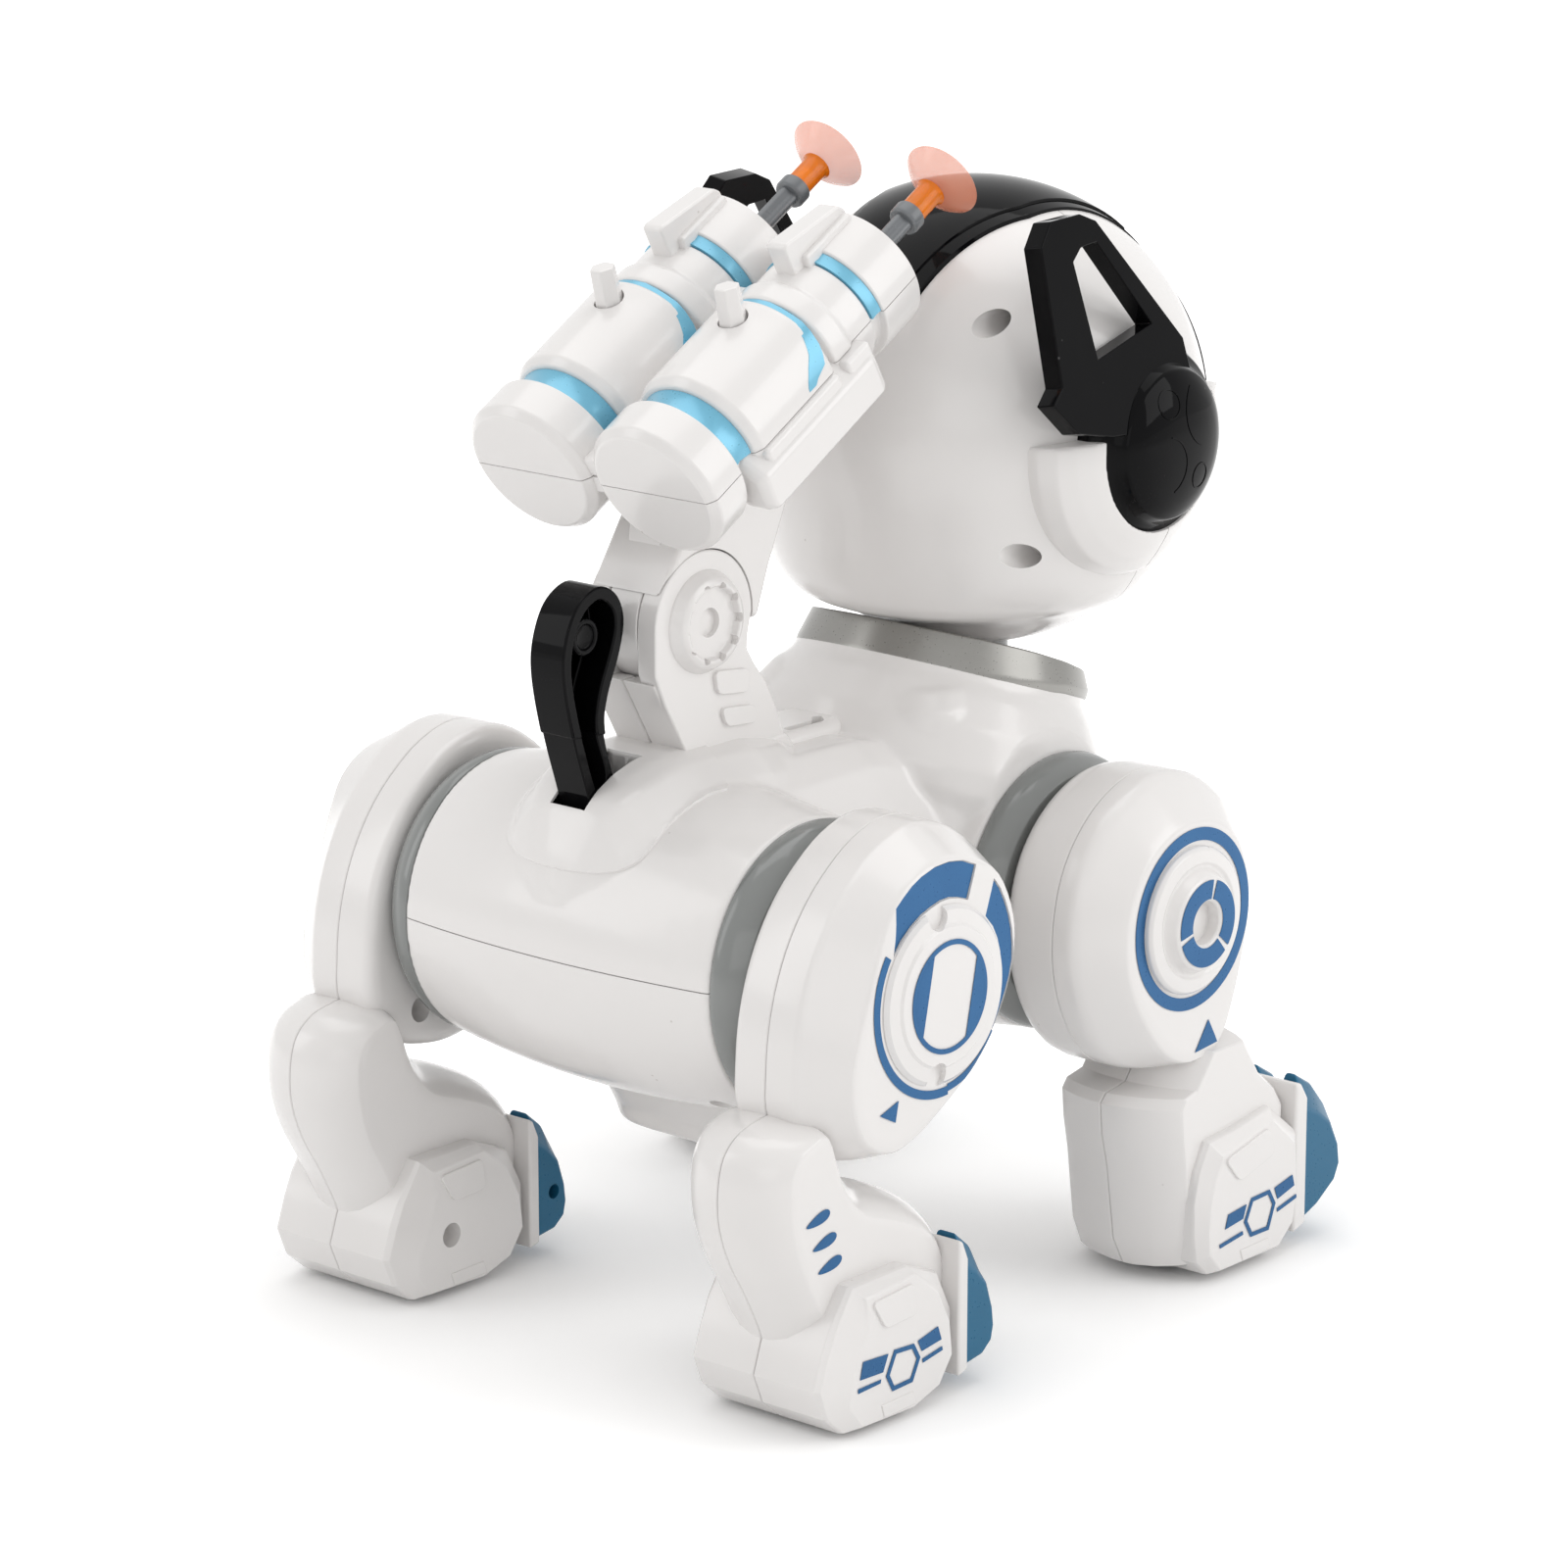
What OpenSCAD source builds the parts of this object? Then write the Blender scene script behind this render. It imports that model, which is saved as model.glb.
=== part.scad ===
// Robot dog toy on four wheeled legs, with a tilting twin dart launcher on its back.
// +X points to the nose, +Y to the dog's left, +Z up; the floor is z = 0; millimetres.
// Shapes for a left and a right side are drawn on the left and mirrored to the right.

/* [Stance] */
// Rear hip axle, along the body
hip_x = -56; // [-70:0.5:-45]
// Rear hip axle, height
hip_z = 89; // [80:0.5:100]
// Front shoulder axle, along the body
shoulder_x = 35; // [25:0.5:45]
// Front shoulder axle, height
shoulder_z = 85; // [76:0.5:96]
// Plane where the two halves of every leg meet, out from the middle
leg_seam_y = 62; // [58:0.5:68]

/* [Body] */
// Rear barrel radius at its ends
barrel_end_r = 32; // [28:0.5:36]
// Rear barrel radius at the middle
barrel_mid_r = 35.5; // [30:0.5:40]
// Rear barrel half width
barrel_half_w = 43.8; // [38:0.1:48]
// Chest radius at its ends
chest_end_r = 31.5; // [26:0.5:36]
// Chest radius at the middle
chest_mid_r = 34; // [28:0.5:40]
// Chest half width
chest_half_w = 38; // [34:0.5:42]
// Wall of the body shells
body_wall = 2; // [1.6:0.1:3]
// Height of the seam between upper and lower shell
split_z = 90; // [86:0.5:94]
// Half width of the waist between barrel and chest
waist_half_w = 33; // [28:0.5:36]
// Height of the flat of the back
back_z = 124.5; // [118:0.5:130]
// Front end of the flat of the back
back_x = -4; // [-12:0.5:4]
// Height of the loin between the flat of the back and the neck
loin_z = 116; // [108:0.5:122]
// Half width of the flat of the back
back_half_w = 17; // [12:0.5:22]
// Half width of the belly box
belly_half_w = 27; // [24:0.5:30]
// Height of the belly above the floor
belly_z = 38; // [32:0.5:46]
// Thickness of the grey hip rings
ring_t = 7.5; // [4:0.1:9]

/* [Running parts] */
// Radius of the hip and shoulder axles
axle_r = 3; // [2:0.1:4]
// Radial play of every turning fit
play = 0.4; // [0.3:0.05:0.6]
// Radial play of pieces that stay together
snug = 0.15; // [0.05:0.01:0.2]
// Gear module
gear_mod = 1; // [0.8:0.1:1.2]
// Teeth of a hip gear
gear_teeth = 30; // [24:1:36]
// Teeth of a motor pinion
pinion_teeth = 10; // [8:1:14]
// Face width of the gears
gear_w = 8; // [4:0.5:10]
// Foot wheel radius
wheel_r = 8.2; // [6:0.1:10]
// Foot wheel width
wheel_w = 12; // [8:0.5:14]
// Foot wheel pin radius
wheel_pin_r = 1.5; // [1:0.1:2]

/* [Legs] */
// Rear thigh disc radius
thigh_r = 35; // [30:0.5:38]
// Rear thigh disc outer face, out from the middle
thigh_out_y = 82; // [76:0.5:86]
// Front thigh disc radius
arm_r = 31.5; // [28:0.5:35]
// Front thigh disc outer face, out from the middle
arm_out_y = 77; // [72:0.5:82]
// Wall of the leg shells
leg_wall = 2; // [1.5:0.1:3]
// Inner side of the rear feet
foot_in_y = 42; // [38:0.5:46]
// Inner side of the front feet, which are narrower
front_foot_in_y = 48; // [44:0.5:52]
// Outer side of every foot
foot_out_y = 82; // [78:0.5:86]
// Height of the soles, just clear of the floor
sole_z = 1.5; // [1:0.1:3]

/* [Head] */
// Head centre, along the body
head_x = 53; // [48:0.5:58]
// Underside of the head, height
head_low_z = 133.8; // [130:0.1:138]
// Head radius
head_r = 52.2; // [46:0.5:58]
// Wall of the head shells
head_wall = 2.5; // [2:0.1:3]
// Plane where rear and front head shells meet
head_seam_x = 55; // [50:0.5:60]
// Forward lean of the neck
neck_lean = 20.5; // [10:0.5:30]
// Radius of the neck swivel
swivel_r = 8; // [6:0.5:10]
// Ear hub radius
ear_r = 22; // [18:0.5:25]
// Thickness of the ear loops
ear_t = 7.5; // [4:0.5:9]
// Inward lean of the ear loops
ear_lean = 9.5; // [0:0.5:15]
// How far the crest stands out of the head
crest_t = 2.5; // [1.5:0.1:4]

/* [Launcher] */
// Rear face of the launcher barrels, along the body
launch_x = -75; // [-80:0.5:-70]
// Rear face of the launcher barrels, height of their axes
launch_z = 190; // [184:0.5:196]
// Upward tilt of the barrels
launch_tilt = 30; // [20:1:40]
// Barrel axes, out from the middle
barrel_y = 17.5; // [17:0.1:19]
// Barrel radius
tube_r = 16.5; // [14:0.1:17]
// Barrel length
tube_l = 80; // [70:1:90]
// Bore radius behind the muzzle
bore_r = 9; // [7:0.5:10]
// Dart shaft radius
dart_r = 2.6; // [2:0.1:3]
// Suction cup radius
cup_r = 9; // [7:0.1:10]
// Trigger peg radius
peg_r = 3; // [2.5:0.1:4]
// Lean of the trigger pegs, backward from upright
peg_lean = 16; // [0:1:30]
// Launcher hinge, along the body
pivot_x = -50.6; // [-56:0.1:-45]
// Launcher hinge, height
pivot_z = 157.4; // [150:0.1:165]
// Radius of the hinge pin
pivot_r = 4; // [3:0.1:5]
// Half width of the launcher post
post_half_w = 10; // [8:0.5:12]
// Half width of the tongue between the post cheeks
tongue_half_w = 4.4; // [3:0.1:6]

/* [Tail] */
// Half width of the tail
tail_half_w = 4.5; // [3:0.1:6]
// Tail hinge, along the body
tail_x = -73; // [-78:0.5:-68]
// Tail hinge, height
tail_z = 108; // [104:0.5:112]

/* [Battery] */
// Radius of one cell
cell_r = 7.25; // [5:0.05:9]
// Length of one cell
cell_l = 50.5; // [44:0.5:66]

/* [Hidden] */
$fn = 96;
eps = 0.01;
far = 400;
white = [0.93, 0.92, 0.91];
grey = [0.42, 0.43, 0.44];
silver = [0.66, 0.66, 0.67];
black = [0.05, 0.05, 0.06];
blue = [0.16, 0.38, 0.62];
sky = [0.28, 0.58, 0.74];
teal = [0.15, 0.42, 0.55];
orange = [0.95, 0.42, 0.10];
rubber = [0.12, 0.12, 0.12];
steel = [0.60, 0.61, 0.63];
board_green = [0.10, 0.36, 0.22];
amber = [0.85, 0.75, 0.45];
neck_x = 41.5;
neck_z = 128;
collar_h = 8.4;
collar_low_r = 33.2;
collar_top_r = 29.5;
collar_t = 2.2;
neck_l = 36;
neck_low_r = 43;
head_z = head_low_z + head_r;
head_share = head_r / 52.2;
ear_y = head_r + 0.3;
swivel_low_z = 112.5;
swivel_low_r = 12;
swivel_seat_z = head_low_z + 8.2;
swivel_top_r = 11;
flange_t = 2;
gear_gap = gear_mod * (gear_teeth + pinion_teeth) / 2;
ring_in_y = barrel_half_w;
thigh_in_y = barrel_half_w + ring_t + 0.7;
arm_in_y = chest_half_w + ring_t + 0.5;
hub_r = 7;
shank_in_y = 47;
shank_out_y = 77;
rear_knee_z = 66.5;
front_knee_z = 52;
toe_inset = 2;
toe_gap = 1.5;
wheel_side = 1;
wheel_boss_r = 3.6;
wheel_pin_l = 11.5;
pin_end = 0.5;
rear_wheel_x = -77;
front_wheel_x = 45;
toe_rear_x = -50;
toe_front_x = 73;
belly_x0 = -47;
belly_x1 = 18;
pack_x0 = -40;
door_x0 = -44;
door_x1 = 16;
door_half_w = 18;
door_rim = 2.2;
door_play = 0.25;
door_t = 1.2;
switch_x = 0;
switch_y = 22;
slot_half_w = 1.9;
knob_half_w = 1.5;
slider_half_w = 2.2;
board_half_w = 20;
speaker_x = 40;
speaker_r = 10;
saddle_t = 4.5;
arm_top = -17;
post_r = 15.5;

// Placing helpers

// A flat outline in x and z, made solid from y0 to y1
module plate_xz(y0, y1) translate([0, y1, 0]) rotate([90, 0, 0]) linear_extrude(y1 - y0) children();

// A flat outline in y and z, made solid from x0 to x1
module plate_yz(x0, x1) translate([x0, 0, 0]) rotate([90, 0, 90]) linear_extrude(x1 - x0) children();

// A profile of radius and y, turned about an axle that runs along y
module turned_y(x, z, profile) translate([x, 0, z]) rotate([-90, 0, 0]) rotate_extrude() polygon(profile);

// A pin along y
module pin_y(x, z, r, y0, y1) translate([x, y0, z]) rotate([-90, 0, 0]) cylinder(h = y1 - y0, r = r);

// A pin along x
module pin_x(y, z, r, x0, x1) translate([x0, y, z]) rotate([0, 90, 0]) cylinder(h = x1 - x0, r = r);

module box(x0, x1, y0, y1, z0, z1) translate([x0, y0, z0]) cube([x1 - x0, y1 - y0, z1 - z0]);

module right_side() mirror([0, 1, 0]) children();

module both_sides() {
    children();
    mirror([0, 1, 0]) children();
}

// The neck leans; its own z runs up through collar and head
module neck_frame() translate([neck_x, 0, neck_z]) rotate([0, neck_lean, 0]) children();

// The launcher's own x runs along the barrels, from their rear faces
module launch_frame() translate([launch_x, 0, launch_z]) rotate([0, -launch_tilt, 0]) children();

// A profile of radius and length, turned about a barrel axis
module on_barrel(profile) translate([0, barrel_y, 0]) rotate([0, 90, 0]) rotate_extrude() polygon(profile);

// Body shells

// Barrel with a slight belly, turned about y
function barrel_profile(mid, end, half_w) = concat([[0, -half_w]],
    [for (i = [-5:5]) [mid - (mid - end) * i * i / 25, half_w * i / 5]], [[0, half_w]]);

function waist_section(w, top) = [[-waist_half_w + w, 58 + w], [waist_half_w - w, 58 + w],
    [waist_half_w - w, 100], [back_half_w - w / 2, top - w],
    [-back_half_w + w / 2, top - w], [-waist_half_w + w, 100]];

function belly_outline(w) = [[belly_x0 - 13 + w * 1.2, 62], [belly_x0 + w * 0.6, belly_z + w],
    [belly_x1 - w * 0.6, belly_z + w], [belly_x1 + 12 - w * 1.2, 62]];

// Outer form of the body, or its hollow when w is the wall
module body_form(w) {
    turned_y(hip_x, hip_z, barrel_profile(barrel_mid_r - w, barrel_end_r - w, barrel_half_w - w));
    turned_y(shoulder_x, shoulder_z, barrel_profile(chest_mid_r - w, chest_end_r - w, chest_half_w - w));
    plate_yz(hip_x, back_x - w) polygon(waist_section(w, back_z));
    plate_yz(hip_x, shoulder_x - 5) polygon(waist_section(w, loin_z));
    plate_xz(-belly_half_w + w, belly_half_w - w) polygon(belly_outline(w));
    intersection() {
        neck_frame() translate([0, 0, -neck_l])
            cylinder(h = neck_l + w / 10, r1 = neck_low_r - w, r2 = collar_low_r - w);
        box(-far, far, -chest_half_w + w, chest_half_w - w, 0, far);
    }
}

screw_spots = [[-72, 34], [-72, -34], [50, 34], [50, -34]];

module screw_columns() for (p = screw_spots) translate([p[0], p[1], 50]) cylinder(h = 70, r = 3.5);

// Holes through both body shells
module body_holes() {
    pin_y(hip_x, hip_z, axle_r + play, -50, 50);
    pin_y(shoulder_x, shoulder_z, axle_r + play, -50, 50);
    for (p = screw_spots) translate([p[0], p[1], 0]) {
        translate([0, 0, 40]) cylinder(h = 30, r = 3);
        translate([0, 0, 60]) cylinder(h = 38, r = 1.5);
    }
}

module body_upper_shell() color(white) difference() {
    union() {
        difference() {
            body_form(0);
            body_form(body_wall);
        }
        intersection() {
            body_form(0);
            union() {
                screw_columns();
                both_sides() box(tail_x - 5, tail_x + 5, 6, 8.5, 103, 125);
                for (x = [-40, 0], y = [4 - board_half_w, board_half_w - 4]) translate([x, y, 107.6])
                    cylinder(h = 20, r = 2.5);
            }
        }
    }
    translate([-far, -far, split_z - far]) cube([2 * far, 2 * far, far]);
    body_holes();
    box(tail_x - 11, tail_x + 7, -tail_half_w - 1, tail_half_w + 1, 111, 130);
    pin_y(tail_x, tail_z, 2.2 + play, -9, 9);
}

module body_lower_shell() color(white) difference() {
    union() {
        difference() {
            body_form(0);
            body_form(body_wall);
        }
        intersection() {
            body_form(0);
            union() {
                screw_columns();
                translate([speaker_x, 0, 45]) cylinder(h = 12, r = speaker_r - 1);
                box(pack_x0 - 2, pack_x0 + cell_l + 2, -17.4, -15.4, 40, 50);
                box(pack_x0 - 2, pack_x0 + cell_l + 2, 15.4, 17.4, 40, 50);
                box(-49, -24, 7, 29, 56, 77);
                box(2, 27, -29, -7, 56, 73);
            }
        }
    }
    translate([-far, -far, split_z]) cube([2 * far, 2 * far, far]);
    body_holes();
    for (x = [-6:4:6]) box(speaker_x + x - 1, speaker_x + x + 1, -6, 6, 40, 57 - eps);
    box(door_x0 + door_rim, door_x1 - door_rim, -door_half_w + door_rim, door_half_w - door_rim,
        belly_z - 1, belly_z + 3);
    box(door_x0, door_x1, -door_half_w, door_half_w, belly_z - 1, belly_z + door_t);
    box(-51, -22, 9, 27, 54, 75);
    box(0, 29, -27, -9, 54, 71);
    box(switch_x - 4.5, switch_x + 4.5, switch_y - slot_half_w, switch_y + slot_half_w,
        belly_z - 1, belly_z + 4);
}

module saddle_cover() color(white) translate([0, 0, back_z]) linear_extrude(saddle_t) {
    polygon([[-60, -11], [-20, -13], [-8, -8], [-8, 8], [-20, 13], [-60, 11]]);
    translate([-9, 0]) circle(r = 8);
}

module neck_collar() color(silver) neck_frame() rotate_extrude() polygon([
    [collar_low_r - collar_t, 0], [collar_low_r, 0], [collar_low_r, 1.2], [collar_top_r, collar_h],
    [collar_top_r - 1.8, collar_h], [collar_low_r - collar_t - 1.2, 1.2]]);

// Domed plate inside the collar, the bearing of the upright neck swivel
module neck_dome() color(white) difference() {
    neck_frame() rotate_extrude() polygon([[0, -3], [collar_low_r - body_wall - 0.3, -3],
        [collar_low_r - body_wall - 0.3, 0], [28.5, 0], [27, 2.6], [22, 4.6], [10, 5.4], [0, 5.4]]);
    translate([head_x, 0, 0]) cylinder(h = far, r = swivel_r + play);
}

// Domed ring between body and thigh
function ring_profile(r, y0) = [[axle_r + play, y0], [r, y0], [r + 0.3, y0 + 1.5],
    [r - 0.6, y0 + 4.5], [r - 3, y0 + ring_t], [axle_r + play, y0 + ring_t]];

module hip_rings_rear() color(grey) both_sides()
    turned_y(hip_x, hip_z, ring_profile(barrel_end_r - 0.3, barrel_half_w));

module hip_rings_front() color(grey) both_sides()
    turned_y(shoulder_x, shoulder_z, ring_profile(chest_end_r - 0.3, chest_half_w));

// Power and drive inside the body

module battery_door() color(white) difference() {
    union() {
        box(door_x0 + door_play, door_x1 - door_play, -door_half_w + door_play, door_half_w - door_play,
            belly_z, belly_z + door_t);
        box(door_x0 + door_rim + door_play, door_x1 - door_rim - door_play,
            -door_half_w + door_rim + door_play, door_half_w - door_rim - door_play,
            belly_z + door_t - eps, belly_z + body_wall + 0.4);
    }
    for (x = [door_x0 + 8:4:door_x0 + 20]) box(x, x + 1.5, -10, 10, belly_z - 1, belly_z + 0.5);
    translate([door_x1 - 7, 0, belly_z - 1]) cylinder(h = 1.8, r = 3);
}

// Two cells side by side in one wrapper
module battery_pack() color(amber) {
    pin_x(-cell_r + eps, belly_z + 3 + cell_r, cell_r, pack_x0, pack_x0 + cell_l);
    pin_x(cell_r - eps, belly_z + 3 + cell_r, cell_r, pack_x0, pack_x0 + cell_l);
    box(pack_x0, pack_x0 + cell_l, -cell_r, cell_r, belly_z + 2.4, belly_z + 3 + 2 * cell_r);
}

module main_board() color(board_green) {
    box(-46, 6, -board_half_w, board_half_w, 106, 107.6);
    box(-30, -18, -6, 6, 104.6, 106 + eps);
    box(-10, -4, 8, 16, 104.2, 106 + eps);
}

module speaker() color(rubber) translate([speaker_x, 0, 57]) {
    cylinder(h = 2.5, r = speaker_r);
    cylinder(h = 7, r = 6);
}

// Motor with its gearbox: the bore takes the pinion's shaft
module gearmotor(x, z) difference() {
    union() {
        box(x - 12, x + 12, 6, 30, z - 12, z + 12);
        pin_x(18, z, 9, x + 12 - eps, x + 31);
    }
    pin_y(x, z, 2 + play, 5, 15);
}

module rear_gearmotor() color(steel) gearmotor(hip_x + gear_gap, hip_z);

module front_gearmotor() color(steel) rotate([0, 0, 180]) translate([-2 * (shoulder_x - gear_gap), 0, 0])
    gearmotor(shoulder_x - gear_gap, shoulder_z);

module body_screws() color(steel) for (p = screw_spots) translate([p[0], p[1], 0]) difference() {
    union() {
        translate([0, 0, 70]) cylinder(h = 26, r = 1.4);
        translate([0, 0, 68]) cylinder(h = 2, r = 2.8);
    }
    translate([-1.8, -0.3, 67]) cube([3.6, 0.6, 2]);
    translate([-0.3, -1.8, 67]) cube([0.6, 3.6, 2]);
}

// Slider of the power switch, in a slot of the belly
module power_switch() color(black) {
    box(switch_x - 4, switch_x, switch_y - knob_half_w, switch_y + knob_half_w, belly_z - 0.8,
        belly_z + body_wall + 0.5);
    box(switch_x - 6, switch_x + 2, switch_y - slider_half_w, switch_y + slider_half_w,
        belly_z + body_wall + 0.4, belly_z + body_wall + 2);
}

// Spur gear with straight-sided teeth, slack enough to run; phase turns it by part of a tooth
function tooth(n, i, phase) = [for (p = [[-0.36, -1.2], [-0.20, 0], [-0.10, 0.85], [0.10, 0.85],
    [0.20, 0], [0.36, -1.2]])
    let (r = gear_mod * (n / 2 + p[1]), a = 360 * (i + phase + p[0]) / n) [r * cos(a), r * sin(a)]];

module gear(n, phase) polygon([for (i = [0:n - 1]) each tooth(n, i, phase)]);

module hip_gear(x, z, phase) translate([x, gear_w / 2, z]) rotate([90, 0, 0]) linear_extrude(gear_w)
    difference() {
        gear(gear_teeth, phase);
        circle(r = axle_r + 0.05);
    }

module rear_hip_gear() color(amber) hip_gear(hip_x, hip_z, 0);

module front_shoulder_gear() color(amber) hip_gear(shoulder_x, shoulder_z, 0);

// Pinion moulded on the shaft that runs into the gearbox
module pinion(x, z, phase) {
    plate_xz(-gear_w / 2 + 0.5, gear_w / 2 - 0.5) translate([x, z]) gear(pinion_teeth, phase);
    pin_y(x, z, 2, -1, 13);
}

module rear_pinion() color(amber) pinion(hip_x + gear_gap, hip_z, 0.5);

module front_pinion() color(amber) right_side() pinion(shoulder_x - gear_gap, shoulder_z, 0.5);

module rear_hip_shaft() color(steel) pin_y(hip_x, hip_z, axle_r, -71, 71);

module front_shoulder_shaft() color(steel) pin_y(shoulder_x, shoulder_z, axle_r, -69, 69);

// Legs, drawn for the left side

// Turned thigh disc with a broad bevel outside, or its hollow when w is the wall
function disc_profile(r, y0, y1, w) = [[0, y0 + w], [r - 2 - w, y0 + w], [r - w, y0 + 2 + w],
    [r - w, leg_seam_y + 6 - w / 2], [r - 6.5 - w, y1 - 1.5 - w], [r - 8 - w, y1 - w], [0, y1 - w]];

rear_shank = [[-91, 84], [-89.5, 66.5], [-97.3, 66.5], [-103.3, 63.4], [-106.2, 57.3], [-106.5, 52.2],
    [-103.9, 43.7], [-99, 33.2], [-94, 24.4], [-92.4, 19.3], [-80, 12], [-56, 34], [-63.9, 46.4],
    [-81.8, 54.5], [-66, 57], [-56, 60], [-46, 70]];
rear_shank_hollow = [[-87, 62], [-97, 63.5], [-103, 58], [-103.2, 52], [-96.5, 34], [-90, 20], [-80, 16],
    [-62, 30], [-68, 41.5], [-84, 50]];
rear_foot = [[-92.4, 19.3], [-94.9, 12.5], [-91.6, 6.3], [-87, sole_z], [-66, sole_z], [-54, 5.5],
    [toe_rear_x, 5.5], [toe_rear_x, 33.5], [-53.8, 36.8], [-63.9, 46.4], [-82, 49], [-91, 30]];
rear_foot_hollow = [[-90, 18], [-92, 12.5], [-86, 4.2], [-67, 4.2], [-53, 8.4], [-53, 31], [-64, 42],
    [-82, 45]];
rear_toe = [[toe_rear_x, 5.5], [-41, 6.2], [-37.1, 9.2], [-36.4, 15], [-38.2, 20.2], [-46.3, 30.7],
    [toe_rear_x, 33.5]];

front_shank = [[4.2, 88], [7, 72.6], [11.7, 61.2], [16.3, 53.8], [19.5, 48.4], [25.5, 44.9], [21.5, 41.5],
    [22, 36.4], [24.7, 29.3], [26.6, 21.8], [27.6, 13.9], [40, 10], [68, 30], [64, 42], [57, 52], [55, 62]];
front_shank_hollow = [[24, 49.5], [29, 44], [25.5, 38], [29, 22], [42, 14], [62, 30], [60, 40], [54, 49.5]];
front_foot = [[21.8, 38], [24.7, 29.3], [26.6, 21.8], [27.6, 13.9], [29.1, 6.4], [32, sole_z], [65, sole_z],
    [toe_front_x, 4.5], [toe_front_x, 36], [64, 42], [40, 43]];
front_foot_hollow = [[28, 30], [30.5, 14], [33.5, 4.2], [65, 4.2], [70, 6.8], [70, 33], [62, 39], [40, 40]];
front_toe = [[toe_front_x, 4.5], [80, 7.5], [87.8, 13], [89.4, 17.5], [88.4, 23], [85.2, 28.6], [77.4, 36.4],
    [toe_front_x, 36]];

// Whole leg before it is split: disc, shank and foot with their hollows, hub and wheel bearings
module leg(x, z, r, y0, y1, shank, shank_hollow, knee_z, foot, foot_hollow, foot_y, wheel_x, clear_r, bore)
    difference() {
    union() {
        difference() {
            union() {
                turned_y(x, z, disc_profile(r, y0, y1, 0));
                plate_xz(y0, leg_seam_y + 8) polygon(shank);
                intersection() {
                    plate_xz(shank_in_y, shank_out_y) polygon(shank);
                    box(-far, far, 0, far, 0, knee_z);
                }
                plate_xz(foot_y, foot_out_y) polygon(foot);
            }
            turned_y(x, z, disc_profile(r, y0, y1, leg_wall));
            plate_xz(shank_in_y + leg_wall, shank_out_y - leg_wall) polygon(shank_hollow);
            plate_xz(foot_y + leg_wall, foot_out_y - leg_wall) polygon(foot_hollow);
        }
        pin_y(x, z, hub_r, y0, y1 - leg_wall / 2);
        pin_y(wheel_x, wheel_r, wheel_boss_r, foot_y + leg_wall / 2, leg_seam_y - wheel_w / 2 - wheel_side);
        pin_y(wheel_x, wheel_r, wheel_boss_r, leg_seam_y + wheel_w / 2 + wheel_side, foot_out_y - leg_wall / 2);
    }
    pin_y(x, z, clear_r, 40, y0);
    pin_y(x, z, bore, y0 - 1, 72);
    pin_y(wheel_x, wheel_r, wheel_pin_r + play, leg_seam_y - wheel_pin_l - pin_end,
        leg_seam_y + wheel_pin_l + pin_end);
    box(wheel_x - wheel_r - wheel_side, wheel_x + wheel_r + wheel_side, leg_seam_y - wheel_w / 2 - wheel_side,
        leg_seam_y + wheel_w / 2 + wheel_side, -1, wheel_r);
}

module rear_leg(bore) leg(hip_x, hip_z, thigh_r, thigh_in_y, thigh_out_y, rear_shank, rear_shank_hollow,
    rear_knee_z, rear_foot, rear_foot_hollow, foot_in_y, rear_wheel_x, barrel_end_r + 2, bore);

module front_leg(bore) leg(shoulder_x, shoulder_z, arm_r, arm_in_y, arm_out_y, front_shank,
    front_shank_hollow, front_knee_z, front_foot, front_foot_hollow, front_foot_in_y, front_wheel_x,
    chest_end_r + 2, bore);

module outer_half() difference() {
    children();
    translate([-far, leg_seam_y - far, -far]) cube([2 * far, far, 2 * far]);
}

// The inner half has the screw wells
module inner_half(wells, foot_y) difference() {
    children();
    translate([-far, leg_seam_y, -far]) cube([2 * far, far, 2 * far]);
    for (p = wells) pin_y(p[0], p[1], 2.6, foot_y - 1, foot_y + leg_wall * 0.75);
}

rear_wells = [[-70, 14], [-84, 34]];
front_wells = [[52, 14], [40, 34]];

// Three toes on one back plate
module toe_cap(outline, toe_x, foot_y) {
    y0 = foot_y + toe_inset;
    y1 = foot_out_y - toe_inset;
    toe_w = (y1 - y0 - 2 * toe_gap) / 3;
    for (i = [0:2]) plate_xz(y0 + i * (toe_w + toe_gap), y0 + i * (toe_w + toe_gap) + toe_w) polygon(outline);
    intersection() {
        plate_xz(y0, y1) polygon(outline);
        box(toe_x, toe_x + 5, y0, y1, 0, 60);
    }
}

module foot_wheel(wheel_x) {
    turned_y(wheel_x, wheel_r, [[0, leg_seam_y - wheel_w / 2], [wheel_r - 1, leg_seam_y - wheel_w / 2],
        [wheel_r, leg_seam_y - wheel_w / 2 + 1], [wheel_r, leg_seam_y + wheel_w / 2 - 1],
        [wheel_r - 1, leg_seam_y + wheel_w / 2], [0, leg_seam_y + wheel_w / 2]]);
    pin_y(wheel_x, wheel_r, wheel_pin_r, leg_seam_y - wheel_pin_l, leg_seam_y + wheel_pin_l);
}

// The axle is pressed into the left leg and slips into the right leg
module rear_left_outer_shell() color(white) outer_half() rear_leg(axle_r + snug);
module rear_left_inner_shell() color(white) inner_half(rear_wells, foot_in_y) rear_leg(axle_r + snug);
module rear_left_toe_cap() color(teal) toe_cap(rear_toe, toe_rear_x, foot_in_y);
module rear_left_wheel() color(rubber) foot_wheel(rear_wheel_x);
module rear_right_outer_shell() color(white) right_side() outer_half() rear_leg(axle_r + play);
module rear_right_inner_shell() color(white) right_side() inner_half(rear_wells, foot_in_y)
    rear_leg(axle_r + play);
module rear_right_toe_cap() color(teal) right_side() toe_cap(rear_toe, toe_rear_x, foot_in_y);
module rear_right_wheel() color(rubber) right_side() foot_wheel(rear_wheel_x);
module front_left_outer_shell() color(white) outer_half() front_leg(axle_r + snug);
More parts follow.
